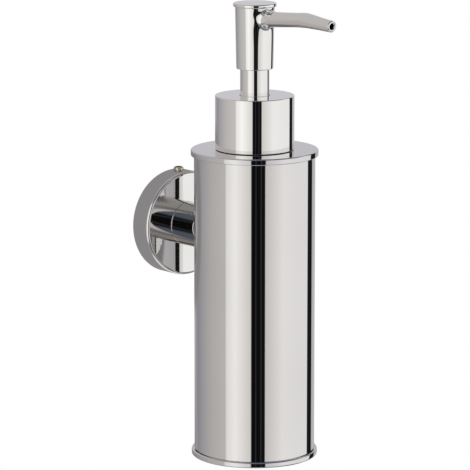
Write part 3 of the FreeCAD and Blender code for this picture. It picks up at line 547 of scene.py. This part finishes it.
class DISPENSER_OT_rosette(bpy.types.Operator):
    """Rosette, its set screw and the wall bracket inside it"""

    bl_idname = "dispenser.rosette"
    bl_label = "Rosette and bracket"

    def execute(self, context):
        sizes = context.scene.dispenser_sizes
        radius = half_width("rosette")
        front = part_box("rosette")[0].y
        cavity = radius - 2.7 * MM
        hole = 3.05 * MM
        web = front + 2.0 * MM
        outline = [
            (cavity, 0), (radius, 0), (radius, front), (hole, front), (hole, web), (cavity, web)]
        rosette = turned("rosette_shell", outline, [
            (sizes.rosette_round, [2]), (0.25 * MM, [0, 1]), (0.8 * MM, [5])], WALL_AXIS, "Y")
        screw_line = middle("rosette_set_screw")
        low, high = foot("rosette_set_screw"), crown("rosette_set_screw")
        start = Vector((screw_line.x, screw_line.y, low))
        carve(rosette, peg(half_width("rosette_set_screw") + 0.12 * MM, start, start + UP * 20 * MM, 48))
        finished(rosette, "wall_unit", "mirror_chrome", ["rosette"])
        self.set_screw(screw_line, low, high)
        self.bracket()
        return {"FINISHED"}

    def set_screw(self, line, low, high):
        """Cone point, three thread crests near the top, bevelled rim and a hexagon socket."""
        radius = half_width("rosette_set_screw")
        pitch = 0.7 * MM
        depth = 0.28 * MM
        outline = [(0, low), (radius - depth, low + radius - depth)]
        rise = low + radius
        while rise + pitch < high - 0.95 * MM:
            outline += [(radius, rise + pitch * 0.35), (radius, rise + pitch * 0.5)]
            rise += pitch
            outline.append((radius - depth, rise))
        for inward, down in ((0, 0.9), (0, 0.75), (0.12, 0.4), (0.35, 0.12), (0.65, 0)):
            outline.append((radius - inward * MM, high - down * MM))
        outline.append((0, high))
        screw = turned("rosette_grub_screw", outline, centre=Vector((line.x, line.y, 0)), closed=False)
        top = Vector((line.x, line.y, high))
        carve(screw, peg(1.39 * MM, top - UP * 1.8 * MM, top + UP * MM, 6))
        finished(screw, "wall_unit", "plated_brass", ["rosette_set_screw"])

    def bracket(self):
        """Plated disc with a V groove, a centre recess and two countersunk holes."""
        radius = half_width("wall_bracket")
        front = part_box("wall_bracket")[0].y
        groove = middle("rosette_set_screw").y
        bite = 1.5 * MM
        recess = 6.6 * MM
        web = -2.4 * MM
        outline = [
            (0, 0), (radius, 0), (radius, groove + bite), (radius - bite, groove),
            (radius, groove - bite), (radius, front), (recess, front), (recess, web), (0, web)]
        bracket = turned("wall_plate", outline, [(0.3 * MM, [1, 5, 6])], WALL_AXIS, "Y", closed=False)
        for side in (-13 * MM, 13 * MM):
            centre = Vector((side, 0, 0))
            carve(bracket, peg(2.25 * MM, centre - OUT * MM, centre + OUT * 10 * MM, 64))
            sink = turned("sink", [
                (0, front - MM), (5.4 * MM, front - MM), (2.0 * MM, front + 2.4 * MM),
                (0, front + 2.4 * MM)], centre=centre, along="Y", closed=False)
            carve(bracket, sink)
        finished(bracket, "wall_unit", "plated_steel", ["wall_bracket"])


class DISPENSER_OT_arm(bpy.types.Operator):
    """Support arm, hollowed to sit on the canister"""

    bl_idname = "dispenser.arm"
    bl_label = "Support arm"

    def execute(self, context):
        radius = half_width("support_arm")
        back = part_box("support_arm")[1].y
        tube = half_width("canister_tube")
        outline = [(0, PUMP_AXIS.y), (radius, PUMP_AXIS.y), (radius, back), (0, back)]
        arm = turned("arm_bar", outline, [(0.35 * MM, [2])], WALL_AXIS, "Y", closed=False)
        low, high = PUMP_AXIS - UP * 30 * MM, PUMP_AXIS + UP * 30 * MM
        carve(arm, peg(tube + 0.03 * MM, low, high, 320))
        # The arm's plate takes the chrome darkened by painted shade
        finished(arm, "wall_unit", "arm_chrome", ["support_arm"])
        return {"FINISHED"}


class DISPENSER_OT_canister(bpy.types.Operator):
    """Canister tube with its flanged top and bottom caps"""

    bl_idname = "dispenser.canister"
    bl_label = "Canister"

    def execute(self, context):
        sizes = context.scene.dispenser_sizes
        outer = half_width("canister_tube")
        inner = outer - 0.8 * MM
        low, high = foot("canister_tube"), crown("canister_tube")
        tube = turned("canister_shell", [(inner, low), (outer, low), (outer, high), (inner, high)])
        line = Vector((PUMP_AXIS.x, 0, middle("canister_screw").z))
        carve(tube, peg(2.55 * MM, line, Vector((line.x, PUMP_AXIS.y, line.z)), 48))
        finished(tube, "wall_unit", "canister_steel", ["canister_tube"])
        spigot = inner - 0.05 * MM
        lining = spigot - 1.2 * MM
        top = crown("top_cap")
        mouth = 14.6 * MM
        flange = half_width("top_cap")
        cap = turned("top_flange", [
            (mouth, top), (flange, top), (flange, high), (spigot, high), (spigot, foot("top_cap")),
            (lining, foot("top_cap")), (lining, high), (mouth, high)],
            [(sizes.flange_round, [1]), (0.3 * MM, [0, 2, 4, 5])])
        finished(cap, "wall_unit", "cap_steel", ["top_cap"])
        base = foot("bottom_cap")
        flange = half_width("bottom_cap")
        dish = 0.5 * MM
        lip, seam = outer + 0.45 * MM, low - 0.4 * MM
        cap = turned("bottom_flange", [
            (0, base + dish), (flange - 3 * MM, base + dish), (flange - 3.4 * MM, base), (flange, base),
            (flange, low), (lip, low), (lip, seam), (spigot, seam), (spigot, crown("bottom_cap")),
            (lining, crown("bottom_cap")), (lining, low), (0, low)],
            [(sizes.flange_round, [3, 4]), (0.3 * MM, [8, 9])], closed=False)
        finished(cap, "wall_unit", "cap_steel", ["bottom_cap"])
        return {"FINISHED"}


class DISPENSER_OT_bottle(bpy.types.Operator):
    """Milky inner bottle with its flat side and threaded neck"""

    bl_idname = "dispenser.bottle"
    bl_label = "Inner bottle"

    def execute(self, context):
        sizes = context.scene.dispenser_sizes
        radius, wall = 22.6 * MM, 1.0 * MM
        low, high = foot("inner_bottle"), crown("inner_bottle")
        shoulder = 34.6 * MM
        neck, bore = 12.5 * MM, 10.4 * MM
        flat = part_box("inner_bottle")[1].y
        bottle = turned("bottle_shell", [
            (0, low), (radius, low), (radius, shoulder), (neck, shoulder), (neck, high), (0, high)],
            [(2 * MM, [1]), (3 * MM, [2]), (0.8 * MM, [3]), (0.4 * MM, [4])], closed=False)
        carve(bottle, self.slab(flat, low, high))
        inside = turned("bottle_inside", [
            (0, low + wall), (radius - wall, low + wall), (radius - wall, shoulder - wall),
            (bore, shoulder - wall), (bore, high + MM), (0, high + MM)],
            [(2 * MM, [1, 2])], closed=False)
        carve(inside, self.slab(flat - wall, low, high + 2 * MM))
        carve(bottle, inside)
        pitch = sizes.thread_pitch
        root, crest = neck - 0.15 * MM, 13.6 * MM
        section = [(root, -0.9 * MM), (crest, -0.35 * MM), (crest, 0.35 * MM), (root, 0.9 * MM)]
        thread = helix("bottle_thread", section, PUMP_AXIS, high - 2.2 * MM - 2 * pitch, pitch, 2)
        bottle = joined("bottle_with_neck", [bottle, thread])
        finished(bottle, "wall_unit", "milky_bottle", ["inner_bottle"])
        return {"FINISHED"}

    def slab(self, flat, low, high):
        """A block behind a flat plane, as tall as the bottle's body, to cut the flat with."""
        select_none()
        depth = 20 * MM
        bpy.ops.mesh.primitive_cube_add(
            size=1, location=(PUMP_AXIS.x, flat + depth / 2, (low + high) / 2),
            scale=(80 * MM, depth, (high - low) * 1.2))
        return rename(bpy.context.object, "slab")


class DISPENSER_OT_pump(bpy.types.Operator):
    """Pump cylinder, dip tube, gasket, return spring and chrome neck sleeve"""

    bl_idname = "dispenser.pump"
    bl_label = "Pump"

    def execute(self, context):
        self.housing()
        self.dip_tube()
        self.spring()
        gasket = half_width("neck_gasket")
        low, high = foot("neck_gasket"), crown("neck_gasket")
        hole = 10.8 * MM
        ring = turned("neck_seal", [(hole, low), (gasket, low), (gasket, high), (hole, high)],
                      [(0.25 * MM, [0, 1, 2, 3])])
        finished(ring, "pump_unit", "seal_rubber", ["neck_gasket"])
        outer = 6.0 * MM
        inner = outer - 0.4 * MM
        low, high = foot("neck_sleeve"), crown("neck_sleeve")
        base = half_width("neck_sleeve")
        foot_top = low + 0.4 * MM
        sleeve = turned("chrome_neck", [
            (inner, low), (base, low), (base, foot_top), (outer, foot_top), (outer, high),
            (inner, high)], [(0.15 * MM, [4, 5])])
        finished(sleeve, "pump_unit", "mirror_chrome", ["neck_sleeve"])
        return {"FINISHED"}

    def housing(self):
        """Pump cylinder with a rim, two stiffening rings, a shouldered foot and the dip tube socket."""
        top = crown("pump_housing")
        rim = half_width("pump_housing")
        flange = top - 1.6 * MM
        outer, bore = 8.0 * MM, 6.9 * MM
        wall = outer - 0.35 * MM
        floor, seat, stop = 13.8 * MM, 8.0 * MM, 6.4 * MM
        shell, socket, inlet, chamber = 4.8 * MM, 3.55 * MM, 1.5 * MM, 3.4 * MM
        low = foot("pump_housing")
        outline = [(bore, top), (rim, top), (rim, flange), (outer, flange)]
        for ring in (flange - 6 * MM, flange - 22 * MM):
            outline += [
                (wall, ring + 1.1 * MM), (outer, ring + 0.7 * MM), (outer, ring - 0.7 * MM),
                (wall, ring - 1.1 * MM)]
        outline += [
            (wall, floor - 2 * MM), (shell, seat - MM), (shell, low), (socket, low), (socket, stop),
            (inlet, stop), (inlet, seat), (chamber, seat + 1.9 * MM), (chamber, floor), (bore, floor)]
        housing = turned("pump_cylinder", outline, [(0.3 * MM, [1, 2])])
        finished(housing, "pump_unit", "white_moulding", ["pump_housing"])

    def dip_tube(self):
        """Thin tube whose foot is cut at a slant."""
        outer = half_width("dip_tube")
        inner = outer - 0.9 * MM
        low, high = foot("dip_tube"), crown("dip_tube")
        tube = turned("suction_tube", [(inner, low), (outer, low), (outer, high), (inner, high)])
        bpy.ops.object.mode_set(mode="EDIT")
        bpy.ops.mesh.select_all(action="SELECT")
        corner = Vector((outer, PUMP_AXIS.y, low + 1.5 * outer))
        lowest = Vector((-outer, PUMP_AXIS.y, low))
        across = (corner - lowest).normalized()
        slope = Vector((across.z, 0, -across.x))
        bpy.ops.mesh.bisect(plane_co=lowest, plane_no=slope, use_fill=True, clear_outer=True)
        bpy.ops.mesh.select_all(action="SELECT")
        bpy.ops.mesh.normals_make_consistent(inside=False)
        bpy.ops.object.mode_set(mode="OBJECT")
        finished(tube, "pump_unit", "milky_bottle", ["dip_tube"])

    def spring(self):
        """Coil of round wire, which in the real pump shortens as the pump is pressed."""
        wire, mean, turns = 0.4 * MM, 4.6 * MM, 7
        low, high = foot("return_spring"), crown("return_spring")
        pitch = (high - low - 2 * wire) / turns
        section = [(mean + wire * math.cos(a), wire * math.sin(a))
                   for a in (2 * math.pi * i / 12 for i in range(12))]
        coil = helix("pump_spring", section, PUMP_AXIS, low + wire, pitch, turns, 48)
        finished(coil, "pump_unit", "spring_steel", ["return_spring"], smooth=60)
        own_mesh(coil)


class DISPENSER_OT_collar(bpy.types.Operator):
    """Chrome collar and the threaded closure inside it"""

    bl_idname = "dispenser.collar"
    bl_label = "Collar"

    def execute(self, context):
        sizes = context.scene.dispenser_sizes
        outer = half_width("collar_shell")
        low, high = foot("collar_shell"), crown("collar_shell")
        inner, under, hole = outer - 0.6 * MM, high - 0.8 * MM, 6.3 * MM
        shell = turned("collar_sleeve", [
            (inner, low), (outer, low), (outer, high), (hole, high), (hole, under), (inner, under)],
            [(sizes.collar_round, [2]), (0.2 * MM, [1, 3])])
        finished(shell, "closure", "mirror_chrome", ["collar_shell"])
        outer = half_width("screw_closure")
        low, high = foot("screw_closure"), crown("screw_closure")
        bore, hole, seat = 14.6 * MM, 9.2 * MM, 56.7 * MM
        cap = turned("closure_cap", [
            (bore, low), (outer, low), (outer, high), (hole, high), (hole, seat), (bore, seat)],
            [(0.3 * MM, [0, 1])])
        pitch = sizes.thread_pitch
        crest = 13.9 * MM
        root = bore + 0.1 * MM
        section = [(crest, -0.3 * MM), (crest, 0.3 * MM), (root, 0.8 * MM), (root, -0.8 * MM)]
        thread = helix("closure_thread", section, PUMP_AXIS, low + 2 * MM, pitch, 3)
        cap = joined("closure_with_thread", [cap, thread])
        finished(cap, "closure", "white_moulding", ["screw_closure"])
        return {"FINISHED"}


class DISPENSER_OT_head(bpy.types.Operator):
    """Pump head in one piece with its spout, and the disc on top"""

    bl_idname = "dispenser.head"
    bl_label = "Pump head"

    def execute(self, context):
        sizes = context.scene.dispenser_sizes
        head = self.barrel()
        self.pull_spout(head)
        self.open_tip()
        take(head)
        smooth = head.modifiers.new("smooth", "SUBSURF")
        smooth.levels = smooth.render_levels = 3
        bpy.ops.object.modifier_apply(modifier=smooth.name)
        finished(head, "head", "mirror_chrome", ["pump_head"], smooth=60)
        low, high = foot("head_cap"), crown("head_cap")
        disc, plug = half_width("head_cap"), 6.0 * MM
        face = high - 1.55 * MM
        cap = turned("head_disc", [
            (0, low), (plug, low), (plug, face), (disc, face), (disc, high), (0, high)],
            [(sizes.disc_round, [3, 4])], closed=False)
        finished(cap, "head", "mirror_chrome", ["head_cap"])
        return {"FINISHED"}

    def barrel(self):
        """Tapered barrel with a round patch of faces in front, and a hollow skirt below."""
        low, high = foot("pump_head"), crown("pump_head")
        swell = smooth_loss(HEAD_SIDES)
        select_none()
        bpy.ops.mesh.primitive_cylinder_add(
            vertices=HEAD_SIDES, radius=HEAD_FOOT * swell, depth=high - low,
            location=PUMP_AXIS + UP * (low + high) / 2)
        head = rename(bpy.context.object, "head_and_spout")
        bpy.ops.object.transform_apply(location=True)
        bpy.ops.object.mode_set(mode="EDIT")
        select_parts(head, "verts", lambda vert: vert.co.z > high - 0.1 * MM)
        flare = HEAD_TOP / HEAD_FOOT
        bpy.ops.transform.resize(value=(flare, flare, 1), center_override=PUMP_AXIS)
        rows = [spout_line(HEAD_TOP).z + step for step in PATCH_ROWS]
        below = [low + step * MM for step in (0.5, 3, 7, 11)]
        for height in [*below, *rows, high - 0.15 * MM]:
            bpy.ops.mesh.select_all(action="SELECT")
            bpy.ops.mesh.bisect(plane_co=(0, 0, height), plane_no=UP)
        self.round_patch(head, rows)
        select_parts(head, "faces", lambda face: face.normal.z > 0.9)
        bpy.ops.mesh.inset(thickness=0.4 * MM)
        select_parts(head, "faces", lambda face: face.normal.z < -0.9)
        for step in (0.45 * MM, 0.6 * MM, 0.2 * MM):
            bpy.ops.mesh.inset(thickness=step)
        for step in (0.3 * MM, 12.4 * MM, 0.3 * MM):
            bpy.ops.mesh.extrude_region_move(TRANSFORM_OT_translate={"value": (0, 0, step)})
        bpy.ops.mesh.inset(thickness=0.4 * MM)
        return head

    def round_patch(self, head, rows):
        """Slide the crossings of the front patch, and of the ring round it, from squares to circles."""
        middle_row = len(rows) // 2
        targets = {}
        for vert in bmesh.from_edit_mesh(head.data).verts:
            reach = PUMP_AXIS.y - vert.co.y
            column = round(math.atan2(vert.co.x - PUMP_AXIS.x, reach) / (2 * math.pi / HEAD_SIDES))
            row = min(range(len(rows)), key=lambda r: abs(rows[r] - vert.co.z))
            step = row - middle_row
            ring = max(abs(column), abs(step))
            if abs(rows[row] - vert.co.z) > 0.01 * MM or not 0 < ring <= middle_row:
                continue
            if abs(column) >= abs(step):
                angle = math.pi / 4 * step / column + (math.pi if column < 0 else 0)
            else:
                angle = math.pi / 2 - math.pi / 4 * column / step + (math.pi if step < 0 else 0)
            wide, tall = PATCH_RINGS[ring - 1]
            corner = abs(math.sin(2 * angle)) * PATCH_CORNER[step > 0] if ring == middle_row else 0
            side = (wide + corner) * math.cos(angle) * MM
            rise = (tall + (corner if step < 0 else 0)) * math.sin(angle) * MM
            height = rows[middle_row] + rise
            full = barrel_radius(height) * smooth_loss(HEAD_SIDES)
            full += PATCH_BULGE if ring == middle_row - 1 else 0
            targets[vert.index] = Vector((
                PUMP_AXIS.x + side, PUMP_AXIS.y - math.sqrt(full * full - side * side), height))
        for index, target in targets.items():
            bpy.ops.mesh.select_all(action="DESELECT")
            mesh = bmesh.from_edit_mesh(head.data)
            mesh.verts.ensure_lookup_table()
            mesh.verts[index].select_set(True)
            move = target - mesh.verts[index].co
            bmesh.update_edit_mesh(head.data)
            bpy.ops.transform.translate(value=move)

    def pull_spout(self, head):
        """Draw the round patch out along the spout's line, ring by ring."""
        centre = spout_line(HEAD_TOP)
        select_parts(head, "faces", lambda face: face.normal.y < -0.5 and (
            (face.calc_center_median() - centre).xz.length < PATCH_REACH))
        swell = smooth_loss(16)
        last, tilt, width = HEAD_TOP, 0.0, PATCH_RINGS[1][0] * MM
        for reach in SPOUT_RINGS:
            here, there = spout_line(last), spout_line(reach)
            bpy.ops.mesh.extrude_region_move(TRANSFORM_OT_translate={"value": tuple(there - here)})
            if last == HEAD_TOP:
                bpy.ops.transform.resize(value=(1, 0, 1), center_override=there)
            turn = spout_tilt(reach) - tilt
            bpy.ops.transform.rotate(value=turn, orient_axis="X", center_override=there)
            share = spout_radius(reach) * swell / width
            bpy.ops.transform.resize(value=(share, share, share), center_override=there)
            last, tilt, width = reach, spout_tilt(reach), width * share

    def open_tip(self):
        """Roll the tip's rim over into the bore."""
        bpy.ops.mesh.dissolve_faces()
        back = spout_line(SPOUT_TIP - 1 * MM) - spout_line(SPOUT_TIP)
        for inward, push in ((0.12, -0.18), (0.3, -0.2), (0.4, 0), (0.3, 0.2), (0.1, 0.3)):
            bpy.ops.mesh.inset(thickness=inward * MM)
            bpy.ops.transform.translate(value=back * push)
        for step in (0.4, 2.0, 9.0):
            bpy.ops.mesh.extrude_region_move(TRANSFORM_OT_translate={"value": tuple(back * step)})
        bpy.ops.mesh.select_all(action="SELECT")
        bpy.ops.mesh.normals_make_consistent(inside=False)
        bpy.ops.object.mode_set(mode="OBJECT")


class DISPENSER_OT_inner_parts(bpy.types.Operator):
    """Finishes for the fixings and pump parts that keep their machined shape"""

    bl_idname = "dispenser.inner_parts"
    bl_label = "Fixings and inner pump parts"

    def execute(self, context):
        looks = {
            "plated_steel": ("arm_screw", "arm_lock_washer", "canister_screw"),
            "milky_bottle": ("piston_seal",),
            "white_moulding": ("pump_stem", "stem_guide", "spring_seat"),
        }
        for look, names in looks.items():
            for name in names:
                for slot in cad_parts[name].material_slots:
                    slot.material = finish(look)
        return {"FINISHED"}


class DISPENSER_OT_stage(bpy.types.Operator):
    """Floor, studio surroundings, light and camera"""

    bl_idname = "dispenser.stage"
    bl_label = "Studio"

    def execute(self, context):
        studio = context.scene.dispenser_studio
        self.floor(studio)
        # The grey card: painted shade of the wall, seen only in reflections
        self.card()
        self.surroundings(studio)
        self.lamp(studio)
        self.camera(studio)
        context.scene.view_settings.view_transform = "Standard"
        context.scene.view_settings.look = "None"
        return {"FINISHED"}

    def floor(self, studio):
        """Pale floor far below, which fades out before its edge."""
        select_none()
        bpy.ops.mesh.primitive_grid_add(
            x_subdivisions=8, y_subdivisions=8, size=studio.floor_size,
            location=(PUMP_AXIS.x, PUMP_AXIS.y, -studio.floor_drop))
        floor = rename(bpy.context.object, "floor")
        bpy.ops.object.transform_apply(location=True)
        floor.data.materials.append(self.floor_material(studio))
        floor.visible_glossy = False

    def floor_material(self, studio):
        """Matt white with faint speckle, clear towards the edge."""
        material = bare_material("pale_floor")
        nodes, links = material.node_tree.nodes, material.node_tree.links
        place = nodes.new("ShaderNodeTexCoord")
        paint = nodes.new("ShaderNodeBsdfDiffuse")
        speckle = noise_value(material, place, 60.0, 0.0, 1.0)
        links.new(tone(material, speckle, (0.9, 0.9, 0.9), (0.87, 0.87, 0.87)), paint.inputs["Color"])
        centre = (PUMP_AXIS.x, PUMP_AXIS.y, -studio.floor_drop)
        size = studio.floor_size
        self.fade_out(material, paint.outputs["BSDF"], centre, size * 0.2, size * 0.49)
        return material

    def card(self):
        """Round grey card behind the rosette, soft at its edge and seen only in reflections, where its
        grey glow is a painted reflection of the wall's shade.
        """
        select_none()
        place = WALL_AXIS - OUT * CARD_BEHIND
        bpy.ops.mesh.primitive_plane_add(
            size=CARD_SIZE, location=place, rotation=(math.radians(90), 0, 0))
        card = rename(bpy.context.object, "grey_card")
        bpy.ops.object.transform_apply(location=True, rotation=True)
        material = bare_material("grey_card")
        # The card glows with painted shade: the grey of the wall in shade, mirrored in the rosette and
        # the tube
        glow = material.node_tree.nodes.new("ShaderNodeEmission")
        glow.inputs["Color"].default_value = (*WALL_SHADE_GREY, 1)
        self.fade_out(material, glow.outputs["Emission"], place, *CARD_FADE)
        card.data.materials.append(material)
        card.visible_camera = False
        card.visible_diffuse = False
        card.visible_shadow = False
        card.visible_transmission = False

    def fade_out(self, material, surface, centre, near, far):
        """Let a surface turn clear between two distances from a point."""
        nodes, links = material.node_tree.nodes, material.node_tree.links
        place = nodes.new("ShaderNodeTexCoord")
        distance = nodes.new("ShaderNodeVectorMath")
        distance.operation = "DISTANCE"
        distance.inputs[1].default_value = centre
        links.new(place.outputs["Object"], distance.inputs[0])
        fade = nodes.new("ShaderNodeMapRange")
        fade.interpolation_type = "SMOOTHSTEP"
        fade.inputs["From Min"].default_value = near
        fade.inputs["From Max"].default_value = far
        links.new(distance.outputs["Value"], fade.inputs["Value"])
        clear = nodes.new("ShaderNodeBsdfTransparent")
        mix = nodes.new("ShaderNodeMixShader")
        links.new(fade.outputs["Result"], mix.inputs["Fac"])
        links.new(surface, mix.inputs[1])
        links.new(clear.outputs["BSDF"], mix.inputs[2])
        output = nodes.new("ShaderNodeOutputMaterial")
        links.new(mix.outputs["Shader"], output.inputs["Surface"])

    def surroundings(self, studio):
        """Soft boxes, grey walls and black flags, and a bare white backdrop for the camera."""
        world = bpy.data.worlds.new("studio")
        bpy.context.scene.world = world
        world.use_nodes = True
        nodes, links = world.node_tree.nodes, world.node_tree.links
        nodes.clear()

        def math_node(operation, first, second=None):
            node = nodes.new("ShaderNodeMath")
            node.operation = operation
            for socket, value in zip(node.inputs, (first, second)):
                if isinstance(value, (int, float)):
                    socket.default_value = value
                elif value is not None:
                    links.new(value, socket)
            return node.outputs["Value"]

        def step_node(value, start, end):
            node = nodes.new("ShaderNodeMapRange")
            node.interpolation_type = "SMOOTHSTEP"
            links.new(value, node.inputs["Value"])
            node.inputs["From Min"].default_value = start
            node.inputs["From Max"].default_value = end
            return node.outputs["Result"]

        def paint(share, under, colour):
            node = nodes.new("ShaderNodeMix")
            node.data_type = "RGBA"
            links.new(share, node.inputs[0])
            links.new(under, node.inputs[6])
            node.inputs[7].default_value = (*colour, 1)
            return node.outputs[2]

        place = nodes.new("ShaderNodeTexCoord")
        axes = nodes.new("ShaderNodeSeparateXYZ")
        links.new(place.outputs["Generated"], axes.inputs["Vector"])
        forward = math_node("MULTIPLY", axes.outputs["Y"], -1)
        azimuth = math_node("DEGREES", math_node("ARCTAN2", axes.outputs["X"], forward))
        height = math_node("DEGREES", math_node("ARCSINE", axes.outputs["Z"]))
        measures = {
            "azimuth": azimuth, "aside": math_node("ABSOLUTE", azimuth),
            "height": height, "steep": math_node("ABSOLUTE", height),
        }
        ramp = nodes.new("ShaderNodeValToRGB")
        links.new(math_node("DIVIDE", math_node("ADD", azimuth, 180), 360), ramp.inputs["Fac"])
        stops = []
        for start, end, first, last in STUDIO_PANELS:
            stops += [(start + PANEL_EDGE / 2, first), (end - PANEL_EDGE / 2, last)]
        elements = ramp.color_ramp.elements
        while len(elements) < len(stops):
            elements.new(0.5)
        for element, (angle, _) in zip(elements, stops):
            element.position = min(1.0, max(0.0, (angle + 180) / 360))
        for element, (_, paint_colour) in zip(elements, stops):
            element.color = (*paint_colour, 1)
        colour = ramp.outputs["Color"]
        for patch_colour, *fades in STUDIO_PATCHES:
            share = 1.0
            for measure, start, end in fades:
                share = math_node("MULTIPLY", share, step_node(measures[measure], start, end))
            colour = paint(share, colour, patch_colour)
        seen = nodes.new("ShaderNodeLightPath")
        colour = paint(seen.outputs["Is Camera Ray"], colour, (studio.backdrop,) * 3)
        glow = nodes.new("ShaderNodeBackground")
        links.new(colour, glow.inputs["Color"])
        output = nodes.new("ShaderNodeOutputWorld")
        links.new(glow.outputs["Background"], output.inputs["Surface"])

    def lamp(self, studio):
        """Large soft lamp that lights the plastics and the floor, and isn't mirrored in the plate."""
        bpy.ops.object.light_add(type="AREA", location=(-0.7, -1.0, 1.1))
        lamp = bpy.context.object
        lamp.name = "soft_lamp"
        lamp.data.shape = "DISK"
        lamp.data.size = 0.9
        lamp.data.energy = studio.lamp_power
        lamp.rotation_euler = (PUMP_AXIS - lamp.location).to_track_quat("-Z", "Y").to_euler()
        lamp.visible_glossy = False

    def camera(self, studio):
        """Camera at a slight height, from the left of the front."""
        around, above = math.radians(studio.azimuth), math.radians(studio.elevation)
        back = Vector((
            math.sin(around) * math.cos(above), -math.cos(around) * math.cos(above), math.sin(above)))
        right = Vector((math.cos(around), math.sin(around), 0))
        target = PUMP_AXIS + right * studio.aim_right + UP * studio.aim_up
        bpy.ops.object.camera_add(location=target + back * studio.distance)
        camera = bpy.context.object
        camera.name = "camera"
        camera.rotation_euler = (-back).to_track_quat("-Z", "Y").to_euler()
        camera.data.lens = studio.lens
        camera.data.sensor_width = 36
        camera.data.clip_start = 0.05
        camera.data.clip_end = 50
        bpy.context.scene.camera = camera


class DISPENSER_PT_pieces(bpy.types.Panel):
    """Sizes, finishes and the pieces in the order they are made"""

    bl_idname = "DISPENSER_PT_pieces"
    bl_label = "Soap dispenser"
    bl_space_type = "VIEW_3D"
    bl_region_type = "UI"
    bl_category = "Dispenser"

    def draw(self, context):
        scene = context.scene
        for group in (scene.dispenser_sizes, scene.dispenser_finishes, scene.dispenser_studio):
            box = self.layout.box()
            for name in group.__annotations__:
                box.prop(group, name)
        for maker in MAKERS:
            self.layout.operator(maker.bl_idname, text=maker.bl_label)


MAKERS = (
    DISPENSER_OT_rosette,
    DISPENSER_OT_arm,
    DISPENSER_OT_canister,
    DISPENSER_OT_bottle,
    DISPENSER_OT_pump,
    DISPENSER_OT_collar,
    DISPENSER_OT_head,
    DISPENSER_OT_inner_parts,
    DISPENSER_OT_stage,
)
SETTINGS = {
    "dispenser_sizes": DispenserSizes,
    "dispenser_finishes": DispenserFinishes,
    "dispenser_studio": StudioSettings,
}


def register():
    for group in (*SETTINGS.values(), *MAKERS, DISPENSER_PT_pieces):
        bpy.utils.register_class(group)
    for name, group in SETTINGS.items():
        setattr(bpy.types.Scene, name, PointerProperty(type=group))


def unregister():
    for name in SETTINGS:
        delattr(bpy.types.Scene, name)
    for group in reversed((*SETTINGS.values(), *MAKERS, DISPENSER_PT_pieces)):
        bpy.utils.unregister_class(group)


def main():
    """Make every piece in order."""
    register()
    for maker in MAKERS:
        group, operation = maker.bl_idname.split(".")
        getattr(getattr(bpy.ops, group), operation)()


if __name__ == "__main__":
    main()
